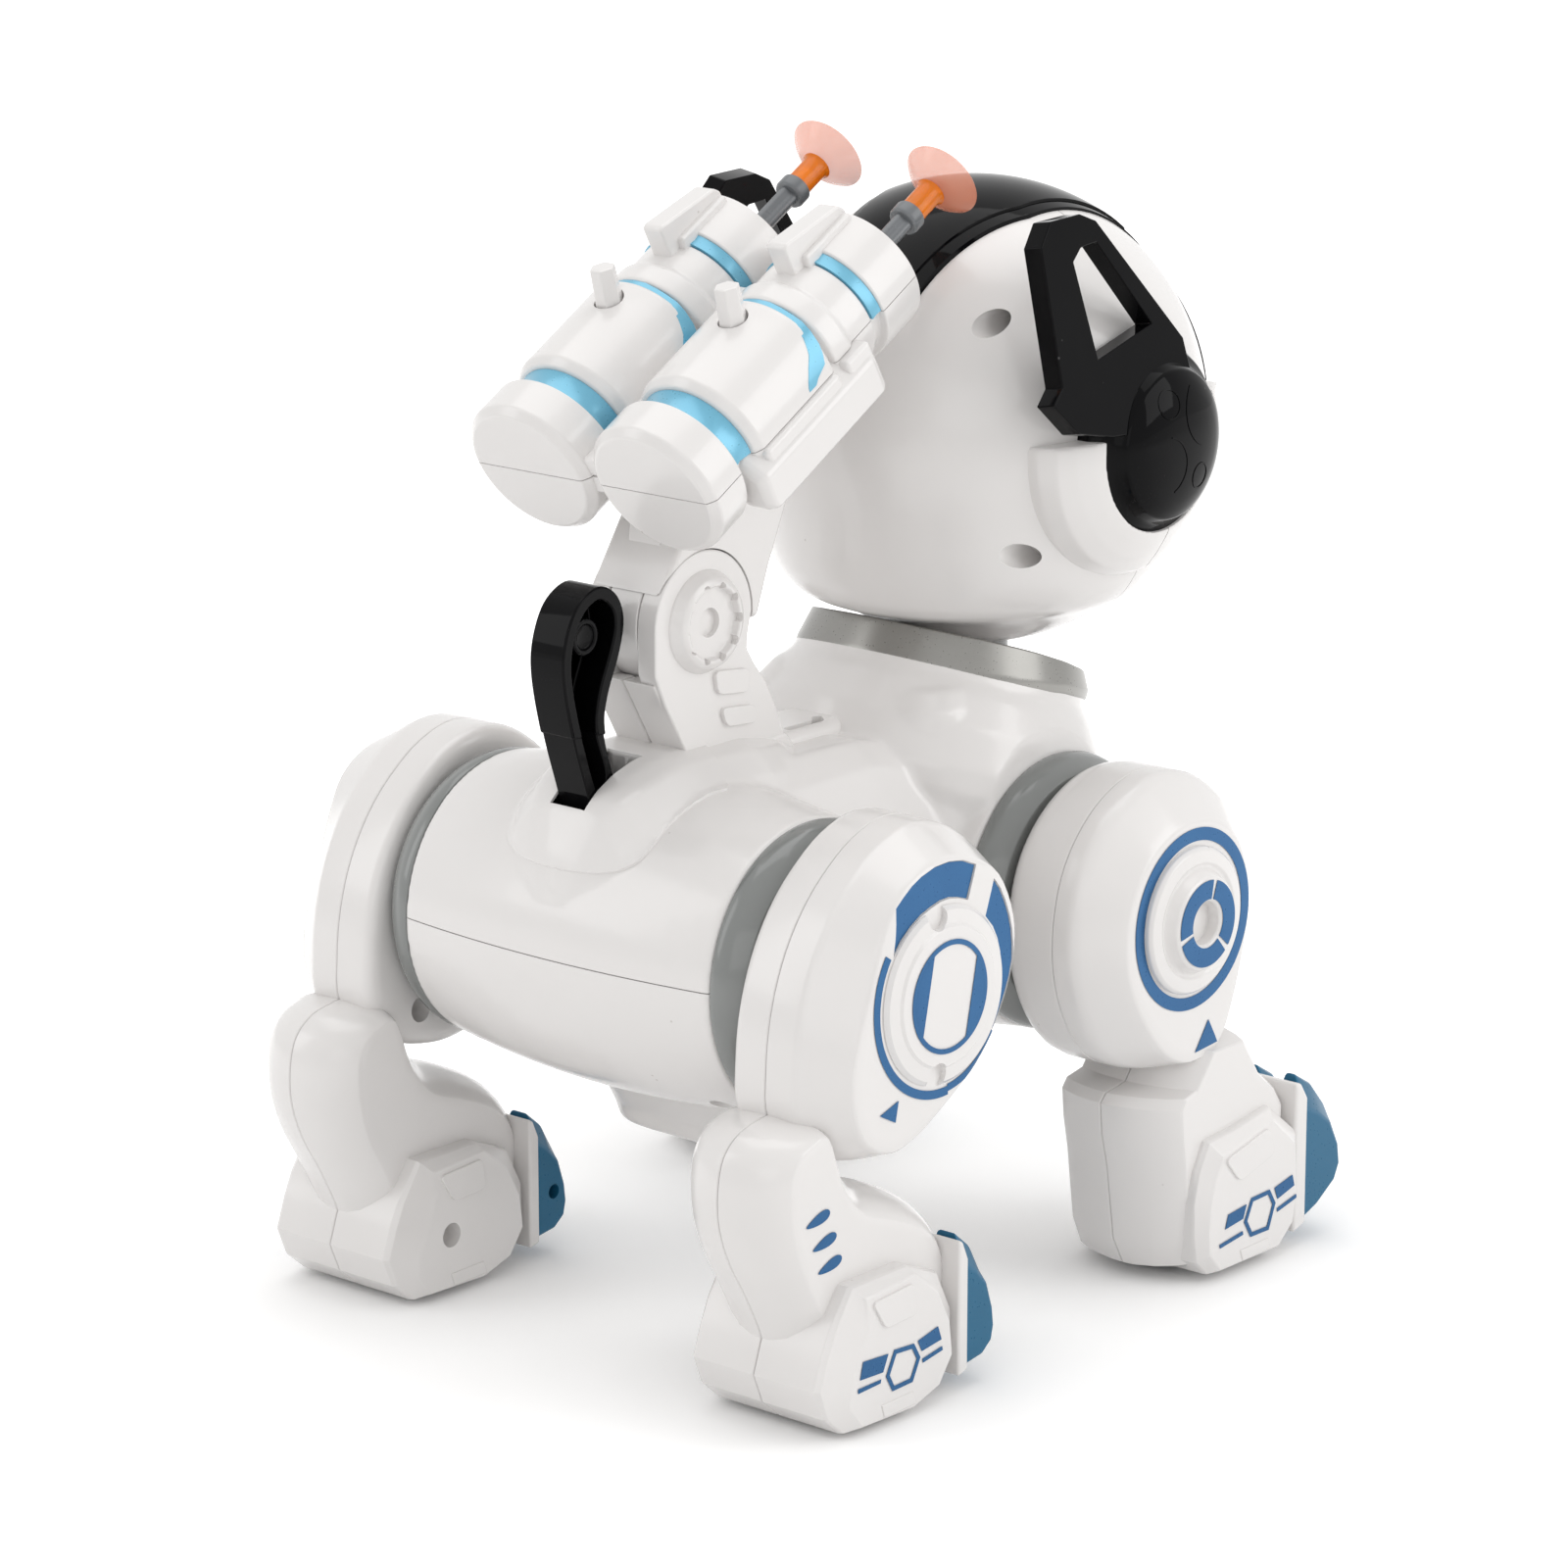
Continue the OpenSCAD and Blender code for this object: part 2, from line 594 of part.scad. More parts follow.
module front_left_inner_shell() color(white) inner_half(front_wells, front_foot_in_y) front_leg(axle_r + snug);
module front_left_toe_cap() color(teal) toe_cap(front_toe, toe_front_x, front_foot_in_y);
module front_left_wheel() color(rubber) foot_wheel(front_wheel_x);
module front_right_outer_shell() color(white) right_side() outer_half() front_leg(axle_r + play);
module front_right_inner_shell() color(white) right_side() inner_half(front_wells, front_foot_in_y)
    front_leg(axle_r + play);
module front_right_toe_cap() color(teal) right_side() toe_cap(front_toe, toe_front_x, front_foot_in_y);
module front_right_wheel() color(rubber) right_side() foot_wheel(front_wheel_x);

// Head

// A place given from the middle of the head, as drawn for the usual radius
function on_head(p) = [head_x + p[0] * head_share, head_z + p[1] * head_share];

head_screw_spots = [for (p = [[30, 28], [-30, 28], [37.5, -22.8], [-37.5, -22.8]])
    [p[0] * head_share, head_z + p[1] * head_share]];

// Raised cheek below and behind each ear hub
cheek_profile = [[10, head_r - 12.2], [10, head_r - 8.2], [ear_r, head_r - 2.2], [25, head_r - 2.6],
    [30, head_r - 6.7], [31.5, head_r - 12.2]];

module head_shell() difference() {
    union() {
        difference() {
            union() {
                translate([head_x, 0, head_z]) sphere(r = head_r);
                both_sides() intersection() {
                    turned_y(head_x - 1, head_z, cheek_profile);
                    box(0, far, 0, far, 0, head_z + 1);
                }
            }
            translate([head_x, 0, head_z]) sphere(r = head_r - head_wall);
        }
        intersection() {
            translate([head_x, 0, head_z]) sphere(r = head_r - 0.5);
            union() {
                translate([head_x, 0, 0]) cylinder(h = swivel_seat_z, r = swivel_r + 5);
                for (p = head_screw_spots) pin_x(p[0], p[1], 4.4, 0, far);
            }
        }
    }
    both_sides() pin_y(head_x - 1, head_z, ear_r + snug, head_r - 8.2, head_r + 20);
    translate([head_x, 0, 0]) cylinder(h = swivel_seat_z + 1, r = swivel_r + snug);
    translate([head_x, 0, swivel_seat_z]) cylinder(h = 20, r = swivel_r + 6);
    for (p = head_screw_spots) {
        pin_x(p[0], p[1], 3, -20, head_seam_x - 12);
        pin_x(p[0], p[1], 1.5, -20, head_seam_x + 7);
    }
}

module head_rear_shell() color(white) difference() {
    head_shell();
    translate([head_seam_x, -far, -far]) cube([far, 2 * far, 2 * far]);
}

module head_front_shell() color(white) difference() {
    head_shell();
    translate([head_seam_x - far, -far, -far]) cube([far, 2 * far, 2 * far]);
}

module head_screws() color(steel) for (p = head_screw_spots) {
    pin_x(p[0], p[1], 1.4, head_seam_x - 14, head_seam_x + 6);
    pin_x(p[0], p[1], 2.7, head_seam_x - 14, head_seam_x - 12);
}

// A curved skin that lies on the head
module head_skin(t) difference() {
    translate([head_x, 0, head_z]) sphere(r = head_r + t);
    translate([head_x, 0, head_z]) sphere(r = head_r + 0.2);
}

// Band over the top of the head, narrower at the back
module head_crest() color(black) intersection() {
    head_skin(crest_t);
    translate([head_x, 0, head_z + 18 * head_share]) linear_extrude(far)
        polygon(head_share * [[-63, -12], [-8, -23], [35, -24], [35, 24], [-8, 23], [-63, 12]]);
}

module face_visor() color(black) intersection() {
    head_skin(1);
    pin_x(0, head_z + head_share, 36 * head_share, head_x + 20 * head_share, far);
}

module eye_lenses() color(sky) intersection() {
    difference() {
        translate([head_x, 0, head_z]) sphere(r = head_r + 1.7);
        translate([head_x, 0, head_z]) sphere(r = head_r + 1.1);
    }
    both_sides() pin_x(15 * head_share, head_z + 6 * head_share, 8 * head_share, head_x + 20 * head_share, far);
}

// Ear: hub with a domed cap, and a three-cornered loop that points up and back and leans inward
ear_outline = [for (p = [[-35.6, 53.6], [-24.8, 54], [-19.2, 51.8], [6.7, 22.5], [9, 10], [3, 3],
    [-13, 3], [-22.6, 3.6], [-34.3, 6], [-42.5, 14], [-38.6, 17.7], [-40.2, 48]]) on_head(p)];
ear_hole = [for (p = [[-25.9, 46], [-20.3, 46.5], [-4.4, 26.7], [-24.5, 21.6], [-29, 43.3]]) on_head(p)];
ear_foot_z = head_z + 14 * head_share;
cap_r = 17;

module ear() difference() {
    union() {
        turned_y(head_x - 1, head_z, [[0, head_r - 7.7], [ear_r, head_r - 7.7], [ear_r, head_r - 2.2],
            [ear_r - 1.5, head_r + 0.3], [ear_r - 3.5, head_r + 1.3], [cap_r, head_r + 4.3], [12, head_r + 6.7],
            [6, head_r + 7.8], [0, head_r + 8.1]]);
        difference() {
            translate([0, ear_y, ear_foot_z]) rotate([ear_lean, 0, 0]) translate([0, -ear_y, -ear_foot_z])
                plate_xz(ear_y - ear_t / 2, ear_y + ear_t / 2) difference() {
                    polygon(ear_outline);
                    polygon(ear_hole);
                }
            pin_y(head_x - 1, head_z, cap_r, 0, far);
        }
    }
    difference() {
        pin_y(head_x - 1, head_z, 16, head_r + 4.8, head_r + 5.4);
        pin_y(head_x - 1, head_z, 13.6, head_r, head_r + 10);
    }
}

module ear_left() color(black) ear();
module ear_right() color(black) right_side() ear();

// Swivel that carries the head; its flanges hold it under the neck dome and in the head
module neck_swivel() color(grey) translate([head_x, 0, 0]) difference() {
    union() {
        translate([0, 0, swivel_low_z]) cylinder(h = swivel_seat_z + flange_t - swivel_low_z, r = swivel_r);
        translate([0, 0, swivel_low_z]) cylinder(h = flange_t, r = swivel_low_r);
        translate([0, 0, swivel_seat_z]) cylinder(h = flange_t, r = swivel_top_r);
    }
    cylinder(h = far, r = swivel_r - 3);
}

// Launcher

// Barrel outline with grooves for the blue bands
groove_r = 13.2;
band_spans = [[12.5, 19.5, 14.5], [47, 50, 15], [61, 65, 14.7]];
tube_profile = [[0, 0], [14.8, 0], [tube_r, 1.8], [tube_r, 12.5], [groove_r, 12.5], [groove_r, 19.5],
    [15.2, 19.5], [tube_r, 21.5], [tube_r, 46], [15.8, 47], [groove_r, 47], [groove_r, 50], [14.2, 50],
    [14.2, 61], [groove_r, 61], [groove_r, 65], [15.2, 65], [15.2, tube_l], [0, tube_l]];
muzzle_t = 8;
bore_profile = [[0, 18], [bore_r, 18], [bore_r, tube_l - muzzle_t], [dart_r + play, tube_l - muzzle_t],
    [dart_r + play, tube_l + 1], [0, tube_l + 1]];
peg_s = 38;
spring_s1 = 30;
spring_r = 4;
spring_wire = 1;
sight_s0 = 58;
sight_s1 = 73;
sight_half_w = 4.2;
sight_z = 18.4;
peg_turn = launch_tilt - peg_lean;

// Where a trigger peg leaves the barrel; its own z runs up the peg
module peg_frame() launch_frame() translate([peg_s, barrel_y, 14]) rotate([0, peg_turn, 0]) children();

module launcher_form() {
    both_sides() on_barrel(tube_profile);
    for (s = [[2, 12.3], [20, 46.5], [50.5, 60.5]]) box(s[0], s[1], -barrel_y, barrel_y, -5, 5);
}

module launcher_bores() {
    both_sides() on_barrel(bore_profile);
    both_sides() translate([peg_s, barrel_y, 14]) rotate([0, peg_turn, 0]) translate([0, 0, -8])
        cylinder(h = 20, r = peg_r + play);
}

module launcher_top_shell() color(white) launch_frame() difference() {
    union() {
        launcher_form();
        both_sides() box(sight_s0, sight_s1, barrel_y - sight_half_w, barrel_y + sight_half_w, 10, sight_z);
    }
    launcher_bores();
    translate([-far, -far, -far]) cube([2 * far, 2 * far, far]);
}

module launcher_bottom_shell() color(white) launch_frame() difference() {
    union() {
        difference() {
            union() {
                launcher_form();
                box(20, 46.5, -35.6, 35.6, -11, 0);
                box(50.5, 56, -35.6, 35.6, -11, 0);
                box(22, 58, -12, 12, arm_top, -8);
            }
            translate([-far, -far, 0]) cube([2 * far, 2 * far, far]);
        }
        both_sides() box(12, 56, 34.2, 35.6, -11, 1.5);
    }
    launcher_bores();
}

// Painted bands: half rings let into the grooves of the upper halves
module launcher_bands() color(sky) launch_frame() both_sides() difference() {
    for (b = band_spans) on_barrel([[groove_r + 0.1, b[0] + 0.15], [b[2], b[0] + 0.15], [b[2], b[1] - 0.15],
        [groove_r + 0.1, b[1] - 0.15]]);
    translate([-far, -far, 0.2 - far]) cube([2 * far, 2 * far, far]);
    box(sight_s0 - 0.2, sight_s1, barrel_y - sight_half_w - 0.2, barrel_y + sight_half_w + 0.2, 0, 40);
}

module launch_springs() color(steel) launch_frame() both_sides()
    on_barrel([[spring_r - spring_wire, 18.2], [spring_r, 18.2], [spring_r, spring_s1],
        [spring_r - spring_wire, spring_s1]]);

// Arm under the launcher: a tongue between the post cheeks, wide above them
module launcher_arm() color(white) difference() {
    union() {
        difference() {
            plate_xz(-post_half_w, post_half_w) polygon([[-66, 160], [-64, 166], [-58, 175], [-44, 196],
                [-10, 216], [-16, 194], [-29, 166], [-33, 155]]);
            pin_y(pivot_x, pivot_z, post_r + 0.8, -post_half_w - 1, post_half_w + 1);
        }
        plate_xz(-tongue_half_w, tongue_half_w) {
            polygon([[pivot_x - 13, pivot_z + 4], [-58, 174], [-44, 190], [-30, 166], [pivot_x + 13, pivot_z]]);
            translate([pivot_x, pivot_z]) circle(r = 13.5);
        }
        pin_y(pivot_x, pivot_z, pivot_r, -post_half_w, post_half_w);
    }
    launch_frame() translate([-far, -far, arm_top]) cube([2 * far, 2 * far, far]);
}

// Post half: a cheek of the hinge above, solid below
module launcher_post() difference() {
    union() {
        plate_xz(0, post_half_w) {
            polygon([[-54, back_z + saddle_t], [pivot_x - post_r + 0.1, 148], [pivot_x - post_r, pivot_z],
                [pivot_x + post_r, pivot_z], [-36.5, 149], [-25.2, back_z + saddle_t]]);
            translate([pivot_x, pivot_z]) circle(r = post_r);
        }
        turned_y(pivot_x, pivot_z, [[0, 8], [12.5, 8], [12.5, 10.5], [11, 13], [8.5, 13], [8.5, 11.5],
            [0, 11.5]]);
        plate_xz(9, 10.8) polygon([[-53, 131], [-46, 131], [-56, 145], [-61, 145]]);
    }
    box(-far, far, -1, tongue_half_w + play, pivot_z - 14.5, far);
    pin_y(pivot_x, pivot_z, pivot_r + play, -1, post_half_w + 0.5);
    pin_y(pivot_x, pivot_z, 3, 0, 20);
}

module launcher_post_left() color(white) launcher_post();
module launcher_post_right() color(white) right_side() launcher_post();

// Trigger peg with the flange that keeps it in the barrel
module trigger() peg_frame() {
    translate([0, 0, -7.7]) cylinder(h = 17.7, r = peg_r);
    translate([0, 0, -7.7]) cylinder(h = 0.9, r = peg_r + 0.9);
}

module trigger_left() color(white) trigger();
module trigger_right() color(white) right_side() trigger();

// Dart: ribbed shaft and a soft tip with a suction cup
dart_s0 = 40;
dart_s1 = tube_l + 21;
dart_left_back = 1;
dart_right_back = 4.5;
module dart_shaft(back) launch_frame() translate([-back, 0, 0]) on_barrel([[0, dart_s0], [dart_r, dart_s0],
    [dart_r, dart_s1 - 2.5], [3.6, dart_s1 - 2.5], [3.6, dart_s1], [0, dart_s1]]);

module dart_tip(back) launch_frame() translate([-back, 0, 0]) on_barrel([[0, dart_s1], [2.9, dart_s1],
    [2.9, dart_s1 + 7.5], [cup_r, dart_s1 + 12], [cup_r - 0.1, dart_s1 + 12.9], [2.2, dart_s1 + 9.2],
    [0, dart_s1 + 9.2]]);

module dart_left_shaft() color(grey) dart_shaft(dart_left_back);
module dart_left_tip() color(orange) dart_tip(dart_left_back);
module dart_right_shaft() color(grey) right_side() dart_shaft(dart_right_back);
module dart_right_tip() color(orange) right_side() dart_tip(dart_right_back);

// Tail: a curved shell, open on its right side, on a pin inside the body
module tail() color(black) {
    difference() {
        plate_xz(-tail_half_w, tail_half_w) {
            polygon([[-77, 107], [-80.5, 121], [-85.5, 137], [-88, 150], [-87.4, 158], [-83.6, 165.5],
                [-77, 169], [-71.5, 167], [-69, 161.5], [-70.5, 154], [-74.5, 145], [-75.5, 138], [-72.5, 127], [-69.5, 121],
                [-69, 107]]);
            translate([tail_x, tail_z]) circle(r = 4);
        }
        plate_xz(-tail_half_w - 1, tail_half_w - 2.2) polygon([[-78.3, 124], [-83.2, 138], [-85.6, 150],
            [-85, 157.4], [-82, 163.4], [-77, 166.5], [-73, 164.5], [-71.5, 160.5], [-73, 155], [-77, 146],
            [-78, 138], [-75, 128]]);
    }
    pin_y(-78.5, 158, 3.5, -1, tail_half_w - 1);
    pin_y(tail_x, tail_z, 2.2, -8.4, 8.4);
}

body_upper_shell();
body_lower_shell();
saddle_cover();
neck_collar();
neck_dome();
hip_rings_rear();
hip_rings_front();
battery_door();
battery_pack();
main_board();
speaker();
rear_gearmotor();
front_gearmotor();
body_screws();
launcher_post_left();
launcher_post_right();
power_switch();
rear_left_outer_shell();
rear_left_inner_shell();
rear_left_toe_cap();
rear_left_wheel();
rear_right_outer_shell();
rear_right_inner_shell();
rear_right_toe_cap();
rear_right_wheel();
front_left_outer_shell();
front_left_inner_shell();
front_left_toe_cap();
front_left_wheel();
front_right_outer_shell();
front_right_inner_shell();
front_right_toe_cap();
front_right_wheel();
rear_hip_shaft();
rear_hip_gear();
front_shoulder_shaft();
front_shoulder_gear();
rear_pinion();
front_pinion();
head_rear_shell();
head_front_shell();
head_crest();
face_visor();
eye_lenses();
ear_left();
ear_right();
neck_swivel();
head_screws();
launcher_top_shell();
launcher_bottom_shell();
launcher_arm();
launcher_bands();
launch_springs();
trigger_left();
trigger_right();
dart_left_shaft();
dart_left_tip();
dart_right_shaft();
dart_right_tip();
tail();
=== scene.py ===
# %% [markdown]
# # A robot dog toy with a twin dart launcher
# The toy is built from white moulded shells, each made of two halves that meet at a fine seam.
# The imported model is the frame: it says where every piece sits and which body it moves with.
# Here each visible shell is modelled again with softened edges, and gets its real finish.

# %% Load the frame
import bpy
import bmesh
import math
from mathutils import Matrix, Vector


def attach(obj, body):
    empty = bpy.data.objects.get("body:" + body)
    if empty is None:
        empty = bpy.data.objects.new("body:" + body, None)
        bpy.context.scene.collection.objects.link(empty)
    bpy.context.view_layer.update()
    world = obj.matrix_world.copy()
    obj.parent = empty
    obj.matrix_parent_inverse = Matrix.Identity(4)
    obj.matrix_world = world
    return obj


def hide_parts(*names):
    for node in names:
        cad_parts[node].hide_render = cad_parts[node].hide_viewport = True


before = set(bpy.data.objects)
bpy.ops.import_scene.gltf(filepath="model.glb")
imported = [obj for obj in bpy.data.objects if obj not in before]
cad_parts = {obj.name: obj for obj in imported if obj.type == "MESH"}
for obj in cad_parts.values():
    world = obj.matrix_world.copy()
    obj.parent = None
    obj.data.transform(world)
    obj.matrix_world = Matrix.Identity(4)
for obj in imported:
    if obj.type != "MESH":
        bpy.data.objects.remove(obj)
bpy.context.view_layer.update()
MM = 0.001

# %% [markdown]
# ## Working by hand, in code
# Operators act on what is selected, so every step starts by selecting nothing.
# Most shells of the toy are outlines that were given a depth. A loft does that: a circle primitive gets
# one corner for each point of the outline, and its face is extruded from section to section.
# The toy's sizes are in millimetres and become metres where a corner is placed. The floor and the lamps
# are given in metres.

# %% Lofts from section to section


def start():
    if bpy.context.object and bpy.context.object.mode != "OBJECT":
        bpy.ops.object.mode_set(mode="OBJECT")
    bpy.ops.object.select_all(action="DESELECT")


def only(piece):
    start()
    piece.select_set(True)
    bpy.context.view_layer.objects.active = piece


def corner_ring(name, points, filled):
    start()
    bpy.ops.mesh.primitive_circle_add(vertices=len(points), radius=MM,
                                      fill_type="NGON" if filled else "NOTHING")
    piece = bpy.context.object
    piece.name = piece.data.name = name
    for corner, point in zip(piece.data.vertices, points):
        corner.co = Vector(point) * MM
    bpy.ops.object.mode_set(mode="EDIT")
    return piece


def outward(piece):
    bpy.ops.mesh.select_all(action="SELECT")
    bpy.ops.mesh.normals_make_consistent(inside=False)
    bpy.ops.object.mode_set(mode="OBJECT")
    return piece


def loft(name, sections):
    piece = corner_ring(name, sections[0], True)
    ring = list(range(len(sections[0])))
    for section in sections[1:]:
        bpy.ops.mesh.extrude_region_move()
        mesh = bmesh.from_edit_mesh(piece.data)
        mesh.verts.index_update()
        mesh.verts.ensure_lookup_table()
        ring = [next(edge.other_vert(mesh.verts[i]).index for edge in mesh.verts[i].link_edges
                     if edge.other_vert(mesh.verts[i]).select) for i in ring]
        for i, point in zip(ring, section):
            mesh.verts[i].co = Vector(point) * MM
        bmesh.update_edit_mesh(piece.data)
    return outward(piece)


def at_y(points, y):
    return [(x, y, z) for x, z in points]


def plate(name, points, y0, y1):
    return loft(name, [at_y(points, y0), at_y(points, y1)])


def block(name, x0, x1, y0, y1, z0, z1):
    return plate(name, [(x0, z0), (x1, z0), (x1, z1), (x0, z1)], y0, y1)


# %% [markdown]
# ## Turned pieces
# Barrels, rings, cups and domes are round about one axis. A profile of radius and height is drawn as a
# chain of edges and spun about that axis. Spin can turn a shape inside out, so the normals are made to
# agree after it.

# %% Spin a profile
ALONG = (1, 0, 0)
BACKWARD = (-1, 0, 0)
ACROSS = (0, 1, 0)
UPWARD = (0, 0, 1)
DOWNWARD = (0, 0, -1)


def turned(name, profile, base, axis, closed=False, steps=96):
    axis = Vector(axis).normalized()
    side = axis.orthogonal().normalized()
    points = [Vector(base) + side * radius + axis * height for radius, height in profile]
    piece = corner_ring(name, points, False)
    if not closed:
        bpy.ops.mesh.select_all(action="DESELECT")
        mesh = bmesh.from_edit_mesh(piece.data)
        mesh.verts.ensure_lookup_table()
        last = mesh.edges.get((mesh.verts[0], mesh.verts[len(points) - 1]))
        last.select = True
        bpy.ops.mesh.delete(type="EDGE")
    bpy.ops.mesh.select_all(action="SELECT")
    bpy.ops.mesh.spin(steps=steps, angle=2 * math.pi, center=Vector(base) * MM, axis=axis)
    bpy.ops.mesh.select_all(action="SELECT")
    bpy.ops.mesh.remove_doubles(threshold=1e-6)
    return outward(piece)


def rod(name, radius, low, high, base, axis, steps=96):
    return turned(name, [(0, low), (radius, low), (radius, high), (0, high)], base, axis, steps=steps)


# %% [markdown]
# ## Rounded outlines
# A moulded outline has no sharp corners. A closed Catmull-Rom curve through a few measured points gives a
# smooth loop, and its corners can be moved inward along their own normals to make the next, smaller
# section.

# %% Outline helpers


def smooth_loop(points, count):
    loop = []
    n = len(points)
    for i in range(count):
        place = i * n / count
        k = int(place)
        t = place - k
        a, b, c, d = [Vector(points[(k + j) % n]) for j in (-1, 0, 1, 2)]
        loop.append(tuple(0.5 * (2 * b + (c - a) * t + (2 * a - 5 * b + 4 * c - d) * t ** 2
                                 + (3 * b - a - 3 * c + d) * t ** 3)))
    return loop


def inset(points, depth):
    n = len(points)
    sides = [(points[i], points[(i + 1) % n]) for i in range(n)]
    area = sum(a[0] * b[1] - b[0] * a[1] for a, b in sides)
    turn = 1 if area > 0 else -1
    moved = []
    for i in range(n):
        before, here, after = [Vector(points[(i + j) % n]) for j in (-1, 0, 1)]
        first = (here - before).normalized()
        second = (after - here).normalized()
        normal = turn * (Vector((-first.y, first.x)) + Vector((-second.y, second.x)))
        normal /= max(normal.length_squared / 2, 0.6)
        moved.append(tuple(here + normal * depth))
    return moved


def blended(first, second, share):
    return [(a[0] + (b[0] - a[0]) * share, a[1] + (b[1] - a[1]) * share) for a, b in zip(first, second)]


# %% [markdown]
# ## Edges, cuts and joins
# Moulded plastic catches light on rounded edges, so a Bevel modifier goes on every hard edge and is
# applied. Weighted normals keep the flat faces flat between those edges. Wells and grooves are cut with
# Boolean modifiers.

# %% Finishing helpers
SMOOTH_ANGLE = math.radians(42)
FLAT_WEIGHT = 60


def apply_modifier(piece, modifier):
    only(piece)
    bpy.ops.object.modifier_apply(modifier=modifier.name)


def soften(piece, width, segments=3, angle=28):
    bevel = piece.modifiers.new("edges", "BEVEL")
    bevel.width = width * MM
    bevel.segments = segments
    bevel.limit_method = "ANGLE"
    bevel.angle_limit = math.radians(angle)
    apply_modifier(piece, bevel)
    return piece


def combine(piece, tool, operation="DIFFERENCE"):
    boolean = piece.modifiers.new("cut", "BOOLEAN")
    boolean.operation = operation
    boolean.object = tool
    boolean.solver = "EXACT"
    apply_modifier(piece, boolean)
    bpy.data.objects.remove(tool)
    return piece


def joined(name, pieces):
    start()
    for piece in pieces:
        piece.select_set(True)
    bpy.context.view_layer.objects.active = pieces[0]
    bpy.ops.object.join()
    pieces[0].name = pieces[0].data.name = name
    return pieces[0]


def copied(piece, name):
    twin = piece.copy()
    twin.data = piece.data.copy()
    twin.name = twin.data.name = name
    bpy.context.scene.collection.objects.link(twin)
    return twin


def mirrored(piece, name):
    twin = copied(piece, name)
    only(twin)
    bpy.ops.object.mode_set(mode="EDIT")
    bpy.ops.mesh.select_all(action="SELECT")
    bpy.ops.transform.resize(value=(1, -1, 1), center_override=(0, 0, 0))
    bpy.ops.mesh.flip_normals()
    bpy.ops.object.mode_set(mode="OBJECT")
    return twin


def softer_skin(piece, voxel, rounds):
    only(piece)
    remesh = piece.modifiers.new("one_skin", "REMESH")
    remesh.mode = "VOXEL"
    remesh.voxel_size = voxel * MM
    apply_modifier(piece, remesh)
    smooth = piece.modifiers.new("soft", "SMOOTH")
    smooth.factor = 0.5
    smooth.iterations = rounds
    apply_modifier(piece, smooth)
    return piece


def set_in(piece, body, finish, slot, *nodes, shading="weighted"):
    only(piece)
    piece.data.materials.clear()
    piece.data.materials.append(finish)
    bpy.ops.object.shade_smooth_by_angle(angle=SMOOTH_ANGLE)
    if shading == "weighted":
        normals = piece.modifiers.new("flat_faces", "WEIGHTED_NORMAL")
        normals.weight = FLAT_WEIGHT
        normals.keep_sharp = True
        apply_modifier(piece, normals)
    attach(piece, body)
    if nodes:
        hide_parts(*nodes)
    print(piece.name, len(piece.data.polygons), "faces on", body)
    return piece


# %% [markdown]
# ## Camera
# The photograph looks at the dog from behind and its right, slightly from above, with a long lens.
# The place and the lens were solved from points of the toy that lie in known planes.

# %% Camera
camera_place = Vector((-955.9, -811.0, 445.5)) * MM
camera_aim = Vector((-13.0, 0.0, 112.3)) * MM
start()
bpy.ops.object.camera_add(location=camera_place)
camera = bpy.context.object
camera.rotation_euler = (camera_aim - camera_place).to_track_quat("-Z", "Y").to_euler()
camera.data.lens = 134.2
camera.data.sensor_width = 36.0
bpy.context.scene.camera = camera
bpy.context.scene.view_settings.view_transform = "Standard"
print("camera", round((camera_aim - camera_place).length, 3), "m away")

# %% [markdown]
# ## Floor and light
# The photograph was taken on a white sweep under large soft lamps. The floor adds light of its own for
# the rays that see it, more of it away from the object and none close under the feet, so that it turns to
# white around the object but still takes the soft shadow below it. From below the floor is clear. The
# lamps are wide, because the shadows under the feet have no hard edge. Camera rays and the rays of
# mirrors and clear parts see a white room, while a softer sky lights the toy.

# %% Floor, sky and lamps
NEAR_GLOW = 0.22
FAR_GLOW = 0.60
NEAR_REACH = 0.10
FAR_REACH = 0.40
CONTACT_SHADE_REACH = 0.035


def link_chain(links, *sockets):
    for source, target in zip(sockets[::2], sockets[1::2]):
        links.new(source, target)


def seen_rays(tree):
    path = tree.nodes.new("ShaderNodeLightPath")
    seen = path.outputs["Is Camera Ray"]
    for label in ("Is Glossy Ray", "Is Transmission Ray"):
        either = tree.nodes.new("ShaderNodeMath")
        either.operation = "MAXIMUM"
        link_chain(tree.links, seen, either.inputs[0], path.outputs[label], either.inputs[1])
        seen = either.outputs[0]
    return seen


